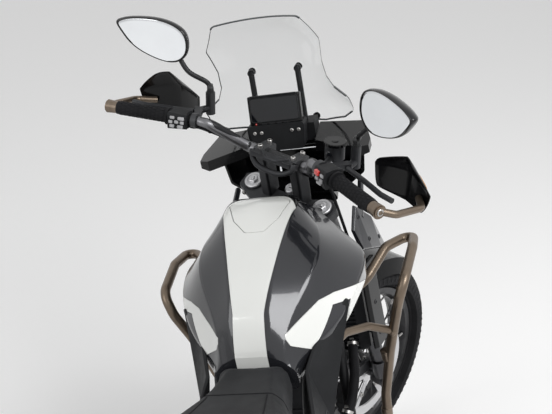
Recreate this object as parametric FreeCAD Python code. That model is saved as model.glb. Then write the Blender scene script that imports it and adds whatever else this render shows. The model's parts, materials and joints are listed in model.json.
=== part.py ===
import FreeCAD, Part
import math, os

V = FreeCAD.Vector

# An adventure motorcycle parked on its side stand with the bars turned to the right stop.
# It is drawn upright first: X forward, Y left, Z up, the rear axle at X = 0, the ground at Z = 0.
# The front end is drawn straight ahead and turned about the steering axis, then all of it is leaned.

# Stance
wheelbase = 1496.0
rake_deg = 26.0
axis_ground_x = 1610.0        # where the steering axis meets the ground
front_wheel_drop = 29.0       # the front tyre reaches this far below the drawing's ground, and parking levels it
steer_right_deg = 30.3        # how far the bars are turned in the parked pose
steer_range_deg = 60.6        # from the right stop to the left stop
lean_deg = 11.6

# Wheels
front_tyre_r = 329.0
front_tyre_half_width = 55.0
front_crown_r = 58.0
front_bead_r = 241.3
rear_tyre_r = 333.0
rear_tyre_half_width = 72.0
rear_crown_r = 84.0
rear_bead_r = 228.6
tyre_wall = 9.0
front_rim_half_width = 34.0
rear_rim_half_width = 56.0
rim_lip = 10.0
rim_depth = 19.0
spoke_r = 1.9
spoke_stagger = 3.0           # crossing spokes start this far to either side of their flange's middle
spokes_per_wheel = 32
spoke_sweep_deg = 40.0        # how far round a spoke leans between hub and rim
front_hub_r = 30.0
front_hub_half = 52.0
rear_hub_r = 42.0
rear_hub_half = 66.0
hub_flange_r = 46.0
hub_flange_thick = 10.0
axle_r = 10.0
running_gap = 0.05            # radial play of a shaft in its bore
fit_gap = 0.3                 # play between pieces that lie against each other

# Fork and steering
fork_offset = 42.0            # the legs stand this far ahead of the steering axis
fork_half_spacing = 110.0
fork_top_s = 1102.0           # distances s run up the steering axis from the ground
fork_outer_r = 27.0
fork_outer_end_s = 640.0
fork_inner_r = 21.5
axle_clamp_r = 25.0
upper_yoke_s = 1074.0
upper_yoke_thick = 24.0
lower_yoke_s = 846.0
lower_yoke_thick = 40.0
stem_r = 15.0
head_tube_r = 30.0
head_tube_low_s = 890.0
head_tube_high_s = 1068.0

# Bars: points are on the left side, mirrored to the right
bar_r = 11.1
bar_clamp_r = 14.3
bar_centre = (1136.0, 0.0, 1119.0)
bar_half_clamp = 100.0
bar_thick_half = 72.0         # the thick middle that the clamps grip
bar_bend_y = 158.0
grip_inner_y = 258.0
grip_outer_y = 391.0
bar_end_y = 417.0
grip_r = 16.5
bar_end_r = 17.0

mirror_turn_deg = 20.0        # the glass faces the rider
brake_pot = (1125.0, -170.0, 1182.0)
hose_r = 4.0

# Engine
engine_half_width = 98.0
crank_centre = (800.0, 400.0)
head_base = (890.0, 0.0, 470.0)   # where the cylinders leave the crankcase
port_up = 140.0
head_half_x = 88.0
cylinder_tilt_deg = 18.0

# Swingarm and final drive
pivot_x = 585.0
pivot_z = 410.0
chain_y = 89.0
chain_pitch = 15.875
rear_teeth = 44
front_teeth = 16
front_sprocket_x = 665.0
front_sprocket_z = 402.0
chain_width = 17.0
chain_plate_high = 14.6
arm_inner_y = 101.0
arm_outer_y = 127.0

# Tank and body
radiator_x = 1128.0
radiator_half = 172.0
cowl_back_x = 1350.0
cowl_wall = 5.0
lamp_top = 68.0               # the headlamp's half width at its top and foot, and its heights
lamp_foot = 78.0
lamp_high = 1008.0
lamp_low = 938.0
screen_thick = 4.0
cover_gap = 1.0               # shut lines between body panels
accent_thick = 9.0
# the light accents in side view: a forked blade from its tip round to its fork
accent_outline = ((1005, 830), (914, 867), (850, 883), (813, 884), (715, 850), (716, 825), (748, 794), (829, 862),
                  (872, 852), (833, 794))
strip_nose_x = 1036.0         # the light cover's round nose
strip_nose_r = 95.3
cover_seam = ((1100, 90), (972, 90), (850, 62), (734, 37), (640, 39))
lid_hinge = (1020.5, 0.0, 1058.0)
apex_x = 993.0
tank_rear_x = 688.0
body_front_x = 1070.0

# Exhaust
exhaust_r = 19.0
silencer_start = (474.0, -176.0, 384.0)
silencer_end = (60.0, -190.0, 600.0)

# Tubes
frame_tube_r = 16.0
sub_tube_r = 11.0
crash_tube_r = 12.7

# Side stand
stand_pivot = (668.0, 128.0, 236.0)
stand_foot_y = 318.0
stand_foot_x = 712.0
stand_tube_r = 11.0
stand_pin_r = 6.0
stand_foot_r = 27.0
stand_foot_thick = 8.0

rake = math.radians(rake_deg)
lean = math.radians(lean_deg)
steer_base = V(axis_ground_x, 0, 0)
steer_up = V(-math.sin(rake), 0, math.cos(rake))
steer_ahead = V(math.cos(rake), 0, math.sin(rake))
parts = {}


# Parking: lean, the small pitch that sets both tyres on the ground, and the height

def wheel_centre(front):
    if front:
        return V(wheelbase, 0, front_tyre_r - front_wheel_drop)
    return V(0, 0, rear_tyre_r)


def turned_about_steering():
    turn = FreeCAD.Rotation(steer_up, -steer_right_deg)
    return FreeCAD.Placement(steer_base - turn.multVec(steer_base), turn)


def tyre_low(centre, axle, tyre_r, crown_r):
    return centre.z - (tyre_r - crown_r) * math.sqrt(1 - axle.z ** 2) - crown_r


def parked_placement():
    pitch = 0.0
    steer = turned_about_steering()
    for i in range(12):
        turn = FreeCAD.Rotation(V(1, 0, 0), -lean_deg) * FreeCAD.Rotation(V(0, 1, 0), pitch)
        front_axle = turn.multVec(steer.Rotation.multVec(V(0, 1, 0)))
        front = tyre_low(turn.multVec(steer.multVec(wheel_centre(True))), front_axle, front_tyre_r, front_crown_r)
        rear = tyre_low(turn.multVec(wheel_centre(False)), turn.multVec(V(0, 1, 0)), rear_tyre_r, rear_crown_r)
        pitch += math.degrees((front - rear) / wheelbase)
    return FreeCAD.Placement(V(0, 0, -rear), turn)


parked = parked_placement()
steered_in = turned_about_steering()


# Placing and shaping helpers

def on_steer(s, d=0.0, y=0.0):
    """A point s up the steering axis, d ahead of it and y to the left."""
    return steer_base + steer_up * s + steer_ahead * d + V(0, y, 0)


def mirrored(shape):
    return shape.mirror(V(0, 0, 0), V(0, 1, 0))


def cylinder(start, end, radius):
    start = V(start)
    run = V(end) - start
    return Part.makeCylinder(radius, run.Length, start, run)


def cone(start, end, r_start, r_end):
    start = V(start)
    run = V(end) - start
    return Part.makeCone(r_start, r_end, run.Length, start, run)


def fused(shapes):
    whole = shapes[0].fuse(shapes[1:]) if len(shapes) > 1 else shapes[0]
    return whole.removeSplitter()


def rounded_path(points, bend):
    """The centre line of a bent tube: straight runs joined by tangent arcs."""
    points = [V(p) for p in points]
    edges = []
    start = points[0]
    for before, corner, after in zip(points, points[1:], points[2:]):
        back = before - corner
        ahead = after - corner
        reach = 0.48 * min(back.Length, ahead.Length)
        back.normalize()
        ahead.normalize()
        half_turn = (math.pi - back.getAngle(ahead)) / 2
        cut = min(bend * math.tan(half_turn), reach)
        radius = cut / math.tan(half_turn)
        towards = back + ahead
        towards.normalize()
        middle = corner + towards * (math.hypot(radius, cut) - radius)
        edges.append(Part.LineSegment(start, corner + back * cut).toShape())
        edges.append(Part.Arc(corner + back * cut, middle, corner + ahead * cut).toShape())
        start = corner + ahead * cut
    edges.append(Part.LineSegment(start, points[-1]).toShape())
    return Part.Wire(edges)


def tube(points, radius, bend=60.0):
    if len(points) == 2:
        return cylinder(points[0], points[1], radius)
    first = V(points[1]) - V(points[0])
    ring = Part.Wire([Part.makeCircle(radius, V(points[0]), first)])
    return rounded_path(points, bend).makePipeShell([ring], True, False)


def rounded_wire(points, radius):
    """A closed outline with every corner rounded by an arc."""
    points = [V(p) for p in points]
    count = len(points)
    edges = []
    ends = []
    for i, corner in enumerate(points):
        back = points[i - 1] - corner
        ahead = points[(i + 1) % count] - corner
        reach = 0.45 * min(back.Length, ahead.Length)
        back.normalize()
        ahead.normalize()
        half_turn = (math.pi - back.getAngle(ahead)) / 2
        cut = min(radius * math.tan(half_turn), reach)
        arc_r = cut / math.tan(half_turn)
        towards = back + ahead
        towards.normalize()
        middle = corner + towards * (math.hypot(arc_r, cut) - arc_r)
        ends.append((corner + back * cut, middle, corner + ahead * cut))
    for i in range(count):
        edges.append(Part.LineSegment(ends[i - 1][2], ends[i][0]).toShape())
        edges.append(Part.Arc(*ends[i]).toShape())
    return Part.Wire(edges)


def sharp_wire(points):
    points = [V(p) for p in points]
    return Part.makePolygon(points + points[:1])


def plate(outline, thickness, radius=0.0):
    """A flat outline pushed along a vector."""
    wire = rounded_wire(outline, radius) if radius else sharp_wire(outline)
    return Part.Face(wire).extrude(V(thickness))


def side_profile(points, y_low, y_high, radius=0.0):
    """An outline in the bike's side view, given as X, Z pairs, between two Y planes."""
    return plate([(x, y_low, z) for x, z in points], (0, y_high - y_low, 0), radius)


def plan_profile(points, z_low, z_high, radius=0.0):
    return plate([(x, y, z_low) for x, y in points], (0, 0, z_high - z_low), radius)


def rear_profile(points, x_low, x_high, radius=0.0):
    return plate([(x_low, y, z) for y, z in points], (x_high - x_low, 0, 0), radius)


def loft(wires, ruled=False):
    return Part.makeLoft(wires, True, ruled)


def full_section(x, half, radius):
    """A symmetric section across the bike from its left half: Y, Z pairs from the top down."""
    left = [(x, y, z) for y, z in half]
    right = [(x, -y, z) for y, z in reversed(half) if y]
    return rounded_wire(left + right, radius)


def turned(profile, centre):
    """A ring from its R, Y profile, turned about an axle."""
    wire = sharp_wire([(r, y, 0) for r, y in profile])
    ring = Part.Face(wire).revolve(V(0, 0, 0), V(0, 1, 0), 360)
    ring.translate(V(centre))
    return ring


def box(low, high):
    size = V(high) - V(low)
    return Part.makeBox(size.x, size.y, size.z, V(low))


def bead_box(points, widths, heights):
    """A straight arm of rectangular section between two points in the side view."""
    (x0, y0, z0), (x1, y1, z1) = points
    wires = []
    for x, y, z, w, h in ((x0, y0, z0, widths[0], heights[0]), (x1, y1, z1, widths[1], heights[1])):
        corners = [(x, y - w / 2, z - h / 2), (x, y + w / 2, z - h / 2),
                   (x, y + w / 2, z + h / 2), (x, y - w / 2, z + h / 2)]
        wires.append(rounded_wire(corners, 6))
    return loft(wires)


def add(name, shapes, steered=False):
    parts[name] = (shapes if isinstance(shapes, list) else [shapes], steered)


# Wheels

def make_tyre(centre, tyre_r, half_width, crown_r, bead_r, rim_half):
    """A hollow carcass: a crown arc, two sidewalls and two beads that sit inside the rim's lips."""
    bead = rim_half - 7 - fit_gap
    lip_top = bead_r + rim_lip + 2
    shoulder_half = half_width * 0.97
    shoulder = tyre_r - (crown_r - math.sqrt(crown_r ** 2 - shoulder_half ** 2))
    waist = (shoulder + lip_top) / 2
    outer = [(bead_r + fit_gap, bead), (lip_top, bead), (waist, half_width), (shoulder, shoulder_half)]
    inner = [(bead_r + fit_gap, bead - tyre_wall), (lip_top, bead - tyre_wall), (waist, half_width - tyre_wall),
             (shoulder - tyre_wall, shoulder_half * 0.9 - tyre_wall)]

    def point(pair, side=1):
        return V(pair[0], side * pair[1], 0)

    def crown(pair, radius):
        return Part.Arc(point(pair), V(radius, 0, 0), point(pair, -1)).toShape()
    left = [point(pair) for pair in outer]
    right = [point(pair, -1) for pair in outer]
    inner_left = [point(pair) for pair in inner]
    inner_right = [point(pair, -1) for pair in inner]
    edges = [Part.LineSegment(a, b).toShape() for a, b in zip(left, left[1:])]
    edges.append(crown(outer[-1], tyre_r))
    walk = right[::-1] + inner_right
    edges += [Part.LineSegment(a, b).toShape() for a, b in zip(walk, walk[1:])]
    edges.append(Part.Arc(inner_right[-1], V(tyre_r - tyre_wall, 0, 0), inner_left[-1]).toShape())
    walk = inner_left[::-1] + left[:1]
    edges += [Part.LineSegment(a, b).toShape() for a, b in zip(walk, walk[1:])]
    ring = Part.Face(Part.Wire(edges)).revolve(V(0, 0, 0), V(0, 1, 0), 360)
    ring.translate(centre)
    return ring


def make_spoked_wheel(centre, bead_r, rim_half, hub_r, hub_half):
    """A rim, a hub and crossed wire spokes laced to the edges of the rim."""
    well = bead_r - rim_lip
    rim = turned([(bead_r + rim_lip, rim_half), (bead_r + rim_lip, rim_half - 5), (bead_r, rim_half - 7),
                  (well, rim_half * 0.45), (well, -rim_half * 0.45), (bead_r, 7 - rim_half),
                  (bead_r + rim_lip, 5 - rim_half), (bead_r + rim_lip, -rim_half),
                  (bead_r - 9, -rim_half), (bead_r - rim_depth, -rim_half * 0.5),
                  (bead_r - rim_depth, rim_half * 0.5), (bead_r - 9, rim_half)], (0, 0, 0))
    bore = axle_r + running_gap
    flange_y = hub_half - 2 * hub_flange_thick
    hub = turned([(bore, -hub_half), (hub_r * 0.75, -hub_half), (hub_r * 0.75, -flange_y - hub_flange_thick),
                  (hub_flange_r, -flange_y - hub_flange_thick), (hub_flange_r, -flange_y),
                  (hub_r, -flange_y + 8), (hub_r, flange_y - 8), (hub_flange_r, flange_y),
                  (hub_flange_r, flange_y + hub_flange_thick), (hub_r * 0.75, flange_y + hub_flange_thick),
                  (hub_r * 0.75, hub_half), (bore, hub_half)], (0, 0, 0))
    spokes = []
    rim_end_r = bead_r - 5
    hub_end_r = hub_flange_r - 5
    for i in range(spokes_per_wheel):
        side = 1 if i % 2 else -1
        sweep = spoke_sweep_deg if (i // 2) % 2 else -spoke_sweep_deg
        at_rim = math.radians(360.0 * i / spokes_per_wheel)
        at_hub = at_rim + math.radians(sweep)
        stagger = spoke_stagger if sweep > 0 else -spoke_stagger
        end = V(rim_end_r * math.cos(at_rim), side * (rim_half - 8), rim_end_r * math.sin(at_rim))
        start = V(hub_end_r * math.cos(at_hub), side * (flange_y + hub_flange_thick / 2 + stagger),
                  hub_end_r * math.sin(at_hub))
        spokes.append(cylinder(start, end, spoke_r))
    whole = rim.fuse([hub] + spokes)
    whole.translate(centre)
    return whole


def make_disc(centre, y_mid, outer_r, inner_r, hub_y, arms):
    """A brake disc on its spider."""
    ring = turned([(inner_r, y_mid - 2.5), (outer_r, y_mid - 2.5), (outer_r, y_mid + 2.5),
                   (inner_r, y_mid + 2.5)], (0, 0, 0))
    low, high = sorted((hub_y, y_mid))
    hub_ring = turned([(axle_r + 4, low - 2), (34, low - 2), (34, high + 2), (axle_r + 4, high + 2)], (0, 0, 0))
    spider = []
    for i in range(arms):
        arm = box((28, y_mid - 2, -9), (inner_r + 6, y_mid + 2, 9))
        arm.rotate(V(0, 0, 0), V(0, 1, 0), 360.0 * i / arms)
        spider.append(arm)
    disc = ring.fuse([hub_ring] + spider)
    disc.translate(centre)
    return disc


def make_wheels():
    front = wheel_centre(True)
    rear = wheel_centre(False)
    add("front_tyre", make_tyre(front, front_tyre_r, front_tyre_half_width, front_crown_r, front_bead_r,
                                front_rim_half_width), True)
    add("rear_tyre", make_tyre(rear, rear_tyre_r, rear_tyre_half_width, rear_crown_r, rear_bead_r,
                               rear_rim_half_width))
    add("front_rim", make_spoked_wheel(front, front_bead_r, front_rim_half_width, front_hub_r, front_hub_half), True)
    add("rear_rim", make_spoked_wheel(rear, rear_bead_r, rear_rim_half_width, rear_hub_r, rear_hub_half))
    add("front_discs", [make_disc(front, side * 64.0, 150.0, 118.0, side * (front_hub_half + 2 + fit_gap), 6)
                        for side in (1, -1)], True)
    add("rear_disc", make_disc(rear, -84.0, 120.0, 88.0, -(rear_hub_half + 2 + fit_gap), 6))


# Front end

def make_fork():
    legs = []
    axle_s = (wheel_centre(True) - steer_base).dot(steer_up)
    axle_d = (wheel_centre(True) - steer_base).dot(steer_ahead)
    for side in (1, -1):
        y = side * fork_half_spacing
        leg = [cylinder(on_steer(fork_outer_end_s, fork_offset, y), on_steer(fork_top_s, fork_offset, y),
                        fork_outer_r),
               cylinder(on_steer(axle_s + 20, fork_offset, y), on_steer(fork_outer_end_s + 10, fork_offset, y),
                        fork_inner_r),
               cylinder(on_steer(axle_s, axle_d, y - side * 26), on_steer(axle_s, axle_d, y + side * 24),
                        axle_clamp_r),
               cylinder(on_steer(axle_s + 10, (fork_offset + axle_d) / 2, y), on_steer(axle_s + 90, fork_offset, y),
                        fork_inner_r + 5)]
        leg = fused(leg)
        bore = cylinder(on_steer(axle_s, axle_d, y - side * 60), on_steer(axle_s, axle_d, y + side * 60), axle_r)
        legs.append(leg.cut(bore))
    reach = fork_half_spacing + 30
    axle = cylinder(on_steer(axle_s, axle_d, -reach), on_steer(axle_s, axle_d, reach), axle_r)
    head = cylinder(on_steer(axle_s, axle_d, reach - 5), on_steer(axle_s, axle_d, reach + 3), axle_r + 5)
    gap = front_hub_half + 0.5
    spacers = []
    for side in (1, -1):
        ring = cylinder(on_steer(axle_s, axle_d, side * gap), on_steer(axle_s, axle_d, side * 81), axle_r + 3)
        spacers.append(ring)
    legs.append(fused([axle, head] + spacers))
    add("fork_legs", legs, True)


def make_yoke(low_s, thick, waist, ahead, with_stem):
    def at(d, y, s=low_s):
        return on_steer(s, d, y)
    half = fork_half_spacing
    outline = [at(fork_offset + 34, half + 8), at(fork_offset + 14, half + 36), at(fork_offset - 24, half + 34),
               at(fork_offset - 40, half - 4), at(-waist, 40), at(-waist, -40), at(fork_offset - 40, 4 - half),
               at(fork_offset - 24, -half - 34), at(fork_offset + 14, -half - 36), at(fork_offset + 34, -half - 8),
               at(ahead, -50), at(ahead, 50)]
    body = Part.Face(rounded_wire(outline, 12)).extrude(steer_up * thick)
    for side in (1, -1):
        body = body.cut(cylinder(at(fork_offset, side * half, low_s - 5), at(fork_offset, side * half, low_s + thick + 5),
                                 fork_outer_r))
    if with_stem:
        stem = cylinder(on_steer(low_s), on_steer(upper_yoke_s), stem_r)
        body = body.fuse(stem)
    return body.removeSplitter()


def bar_point(y):
    """The bar's centre line past its bend, at a given distance from the middle."""
    slope_x = -0.36
    return V(1013.0 + slope_x * (y - 260.0), y, 1197.0)


def make_bars():
    centre = V(bar_centre)
    path = [centre, centre + V(0, bar_half_clamp, 0), bar_point(bar_bend_y), bar_point(bar_end_y - 2)]
    half = tube(path, bar_r, 45)
    thick = cylinder(centre + V(0, -bar_thick_half, 0), centre + V(0, bar_thick_half, 0), bar_clamp_r)
    bar = half.fuse([mirrored(half), thick])
    add("handlebar", bar.removeSplitter(), True)
    grips = []
    ends = []
    for side in (1, -1):
        inner, outer, end = [bar_point_side(y, side) for y in (grip_inner_y, grip_outer_y, bar_end_y)]
        run = outer - inner
        run.normalize()
        bore = cylinder(inner - run * 20, end, bar_r + running_gap)
        grip = fused([cylinder(inner, outer, grip_r), cylinder(inner, inner + run * 6, grip_r + 5)])
        grips.append(grip.cut(bore))
        weight = cone(outer + run * fit_gap, end, bar_end_r - 2, bar_end_r)
        cap = cylinder(end, end + run * 3, bar_end_r - 3)
        ends.append(fused([weight, guard_arm(side), cap]).cut(bore))
    add("grips", grips, True)
    add("bar_ends", ends, True)


def guard_arm(side, extra=0.0):
    """The bar that runs from the bar end round the front of the hand guard."""
    end = bar_point_side(bar_end_y, side)
    return tube([end + V(2, -side * 6, 0), V(991, side * 438, 1184), V(1080, side * 446, 1166),
                 V(1124, side * 410, 1160)], 8.5 + extra, 26)


def bar_point_side(y, side):
    p = bar_point(y)
    p.y *= side
    return p


def make_clamps():
    """Two risers on the upper yoke, tied by one cast bridge over the bar."""
    centre = V(bar_centre)
    pieces = []
    top_s = upper_yoke_s + upper_yoke_thick
    for side in (1, -1):
        y = side * 52
        foot = on_steer(top_s, 38, y)
        post = loft([rounded_wire([foot + steer_ahead * a + V(0, b, 0) for a, b in
                                   ((-20, -15), (20, -15), (20, 15), (-20, 15))], 6),
                     rounded_wire([V(centre.x + a, y + b, centre.z - 2) for a, b in
                                   ((-22, -15), (22, -15), (22, 15), (-22, 15))], 6)])
        cap = box((centre.x - 26, y - 15, centre.z - 2.5), (centre.x + 26, y + 15, centre.z + 21))
        pieces += [post, cap.makeFillet(5, [e for e in cap.Edges if abs(e.BoundBox.YLength - 30) < 0.1])]
    bridge = box((centre.x - 44, -52, centre.z + 6), (centre.x - 22, 52, centre.z + 18))
    ties = [box((centre.x - 44, side * 52 - 9, centre.z + 6), (centre.x - 10, side * 52 + 9, centre.z + 18))
            for side in (1, -1)]
    body = fused(pieces + [bridge] + ties)
    hole = cylinder(centre + V(0, -90, 0), centre + V(0, 90, 0), bar_clamp_r + running_gap)
    nut = cylinder(on_steer(top_s), on_steer(top_s + 14), 19)
    return [body.cut(hole), nut]


def mirror_seat(side):
    """The top of the boss on the lever perch that carries a mirror's stem."""
    return V(1130, side * 227, 1232)


def make_controls():
    """Switch blocks, lever perches, levers and the brake fluid pot."""
    blocks = []
    levers = []
    for side in (1, -1):
        near = bar_point_side(208.0, side)
        far = bar_point_side(253.0, side)
        run = far - near
        run.normalize()
        up = V(0, 0, 1)
        ahead = up.cross(run) if side < 0 else run.cross(up)
        ring = []
        for p, w in ((near, 19), (far, 22)):
            ring.append(rounded_wire([p + ahead * a + up * b for a, b in
                                      ((-w - 6, -w), (w, -w), (w, w), (-w - 6, w))], 7))
        block = loft(ring).cut(cylinder(near - run * 20, far + run * 20, bar_r + running_gap))
        blocks.append(block)
        perch_a = bar_point_side(188.0, side)
        perch_b = bar_point_side(201.0, side)
        perch = cylinder(perch_a, perch_b, 18).cut(cylinder(perch_a - run * 20, perch_b + run * 20,
                                                            bar_r + running_gap))
        pivot = perch_b + ahead * 58 + run * 16 - up * 4
        arm = plate([perch_a + ahead * 12 - up * 9, perch_b + ahead * 12 - up * 9,
                     pivot + ahead * 14 + run * 8 - up * 5, pivot + ahead * 14 - run * 16 - up * 5],
                    up * 14, 4)
        mirror_boss = cylinder(mirror_seat(side) - up * 58, mirror_seat(side), 12)
        boss_arm = cylinder(pivot, mirror_seat(side) - up * 42, 9)
        blade = tube([pivot + run * 4, bar_point_side(276.0, side) + ahead * 62 - up * 8,
                      bar_point_side(344.0, side) + ahead * 57 - up * 8,
                      bar_point_side(380.0, side) + ahead * 62 - up * 8], 6.5, 40)
        levers.append(fused([perch, arm, mirror_boss, boss_arm, blade]))
    add("switchgear", blocks, True)
    seat = V(brake_pot)
    pot = cylinder(seat, seat + V(0, 0, 36), 24)
    lid = cylinder(seat + V(0, 0, 36), seat + V(0, 0, 42), 26)
    holder = cylinder(bar_point_side(194.0, -1) + V(12, 0, 0), seat + V(-12, 0, 6), 7)
    holder = holder.cut(cylinder(bar_point_side(160.0, -1), bar_point_side(230.0, -1), bar_r + running_gap))
    add("levers", [levers[0], fused([levers[1], pot, lid, holder])], True)


def make_mirrors():
    heads = []
    # outboard and up from the head's middle
    outline = [(88, 34), (62, 50), (-2, 56), (-50, 46), (-78, 24), (-80, -20), (-52, -47), (-6, -44), (70, -14)]
    for side in (1, -1):
        seat = mirror_seat(side)
        middle = V(1055, side * 343, 1360)
        stem = tube([seat + V(0, 0, 6), seat + V(-4, side * 10, 26), V(1086, side * 265, 1287),
                     V(1072, side * 300, 1336)], 6, 22)
        base = cone(seat + V(0, 0, fit_gap), seat + V(0, 0, 18), 12, 9)
        rings = []
        for x, grow in ((0, 1.0), (14, 1.03), (40, 0.6)):
            rings.append(rounded_wire([middle + V(x, side * a * grow, b * grow) for a, b in outline], 20 * grow))
        shell = loft(rings)
        shell.rotate(middle, V(0, 0, 1), side * mirror_turn_deg)
        heads.append(fused([stem, base, shell]))
    add("mirrors", heads, True)


def make_handguards():
    guards = []
    for side in (1, -1):
        # rows run from the top edge down: X, Y and Z of the inner, middle and outer columns
        rows = (((1110, 307, 1233), (1125, 368, 1250), (1103, 395, 1244)),
                ((1138, 275, 1201), (1155, 362, 1206), (1101, 452, 1186)),
                ((1139, 281, 1139), (1152, 357, 1124), (1109, 428, 1130)))
        skin = []
        for depth in (0, 5):
            grid = [V(x + depth, side * y, z) for row in rows for x, y, z in row]
            skin.append(grid)
        solids = []
        for r in range(2):
            for c in range(2):
                a, b = 3 * r + c, 3 * r + c + 1
                d, e = a + 3, b + 3
                for tri in ((a, b, d), (b, e, d)):
                    solids.append(prism([skin[0][i] for i in tri], [skin[1][i] for i in tri]))
        guards.append(fused(solids).cut(guard_arm(side, fit_gap)))
    add("handguards", guards, True)


def prism(lower, upper):
    """A triangular plate between two like triangles."""
    def face(points):
        return Part.Face(Part.makePolygon(points + points[:1]))
    faces = [face(lower), face(upper)]
    for i in range(3):
        j = (i + 1) % 3
        faces.append(face([lower[i], lower[j], upper[j], upper[i]]) if flat(lower[i], lower[j], upper[j], upper[i])
                     else face([lower[i], lower[j], upper[j]]))
    return Part.makeSolid(Part.makeShell(faces))


def flat(a, b, c, d):
    return abs((b - a).cross(c - a).dot(d - a)) < 1e-3 * max(1.0, (b - a).cross(c - a).Length)


def make_front_fender():
    """A low fender that follows the tyre, with stays down to the fork lugs."""
    centre = wheel_centre(True)
    inner = front_tyre_r + 18
    half = front_tyre_half_width + 8
    profile = [(inner, -half + 18), (inner - 40, -half), (inner - 40, -half - 3), (inner + 4, -half + 16),
               (inner + 4, half - 16), (inner - 40, half + 3), (inner - 40, half), (inner, half - 18)]
    wire = sharp_wire([(r, y, 0) for r, y in profile])
    sweep = Part.Face(wire).revolve(V(0, 0, 0), V(0, 1, 0), 98)
    sweep.rotate(V(0, 0, 0), V(0, 1, 0), -152)
    sweep.translate(centre)
    stays = []
    leg_inner = fork_half_spacing - fork_outer_r - fit_gap
    hub_s = (centre - steer_base).dot(steer_up)
    for side in (1, -1):
        stays.append(cylinder(on_steer(hub_s + 328, fork_offset, side * (half - 12)),
                              on_steer(hub_s + 328, fork_offset, side * leg_inner), 13))
    add("front_fender", fused([sweep] + stays), True)


def make_calipers():
    centre = wheel_centre(True)
    calipers = []
    for side in (1, -1):
        block = box((-30, 46, -34), (30, 84, 34))
        block = block.makeFillet(7, block.Edges)
        slot = box((-60, 60, -40), (34, 68, 60))
        lug = box((20, 72, -30), (96, 84, 6))
        block = fused([block.cut(slot), lug])
        block.translate(V(-112, 0, 62))
        hub_s = (centre - steer_base).dot(steer_up)
        leg = cylinder(on_steer(hub_s, fork_offset, fork_half_spacing) - centre,
                       on_steer(hub_s + 300, fork_offset, fork_half_spacing) - centre, fork_inner_r + 5 + fit_gap)
        foot = cylinder(on_steer(hub_s, fork_offset - 8, fork_half_spacing) - centre,
                        on_steer(hub_s + 90, fork_offset, fork_half_spacing) - centre, fork_inner_r + 6)
        block = max(block.cut([leg, foot]).Solids, key=lambda solid: solid.Volume)
        if side < 0:
            block = mirrored(block)
        block.translate(centre)
        calipers.append(block)
    add("front_calipers", calipers, True)


def make_brake_hoses():
    """One hose from the brake pot down the right leg to its caliper, and one over the tyre to the other."""
    hub = wheel_centre(True)
    top = hub + V(-112, 0, 62 + 34 + fit_gap)
    start = V(brake_pot) + V(8, 0, -fit_gap)
    main = [start, start - V(0, 0, 24), on_steer(1235, 88, -140), on_steer(1130, 88, -112),
            on_steer(790, 88, -108), on_steer(745, 72, -75), on_steer(680, 6, -75), on_steer(560, 0, -75),
            top + V(-6, -75, 20), top + V(-6, -75, 0)]
    half = [top + V(14, 75, 0), top + V(14, 75, 24), on_steer(600, 24, 75), on_steer(696, 24, 75),
            on_steer(708, 22, 46)]
    across = half + [V(p.x, -p.y, p.z) for p in reversed(half)]
    add("brake_hoses", [tube(main, hose_r, 30), tube(across, hose_r, 30)], True)


def make_front_end():
    make_fork()
    add("upper_yoke", [make_yoke(upper_yoke_s, upper_yoke_thick, 34, 46, False)] + make_clamps(), True)
    add("lower_yoke", make_yoke(lower_yoke_s, lower_yoke_thick, 36, 52, True), True)
    make_bars()
    make_controls()
    make_mirrors()
    make_handguards()
    make_front_fender()
    make_calipers()
    make_brake_hoses()


# Frame and chassis

def backbone(side, extra):
    """The upper frame tube from the head down to the pivot plates, or the room it needs."""
    return [tube([on_steer(1040, -8, side * 8), (1010, side * 92, 880), (720, side * 108, 690),
                  (600, side * 108, 470)], frame_tube_r + 3 + extra, 110)]


def make_main_frame():
    head = cylinder(on_steer(head_tube_low_s), on_steer(head_tube_high_s), head_tube_r)
    tubes = [head]
    for side in (1, -1):
        tubes += backbone(side, 0.0)
        tubes.append(tube([(1112, side * 36, 914), (1098, side * 82, 770), (1086, side * 98, 640),
                           (1052, side * 100, 300), (985, side * 100, 240), (664, side * 100, 240),
                           (640, side * 113, 345)], frame_tube_r - 2, 70))
        tubes.append(side_profile([(552, 350), (620, 336), (640, 420), (622, 520), (580, 520), (556, 450)],
                                  side * 112 - 8, side * 112 + 8, 14))
        tubes.append(cylinder((1084, side * 99, 650), (radiator_x - fit_gap, side * 99, 650), 8))
        tubes.append(cylinder(on_steer(985, 20, side * 22), (cowl_back_x + 9, side * 22, 950), 8))
    tubes.append(cylinder((600, -108, 505), (600, 108, 505), 14))
    frame = fused(tubes + [make_stand_bracket()])
    frame = frame.cut(cylinder(on_steer(head_tube_low_s - 9), on_steer(head_tube_high_s + 9),
                               stem_r + running_gap))
    frame = frame.cut(cylinder((pivot_x, -160, pivot_z), (pivot_x, 160, pivot_z), axle_r))
    frame = frame.cut(box((cowl_back_x - fit_gap, -60, 890), (cowl_back_x + 60, 60, 1010)))
    add("main_frame", frame)


def make_subframe():
    rails = []
    for side in (1, -1):
        rails.append(tube([(640, side * 108, 644), (520, side * 110, 716), (60, side * 92, 812),
                           (-150, side * 66, 850)], sub_tube_r, 90))
        rails.append(tube([(580, side * 133, 500), (530, side * 118, 560), (180, side * 97, 776)],
                          sub_tube_r - 1, 60))
    for x, z, y in ((440, 732.7, 106), (80, 807.8, 92), (-140, 848.2, 66)):
        rails.append(cylinder((x, -y, z), (x, y, z), 8))
    add("subframe", fused(rails))


def head_directions():
    tilt = math.radians(cylinder_tilt_deg)
    return V(math.sin(tilt), 0, math.cos(tilt)), V(math.cos(tilt), 0, -math.sin(tilt))


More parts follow.
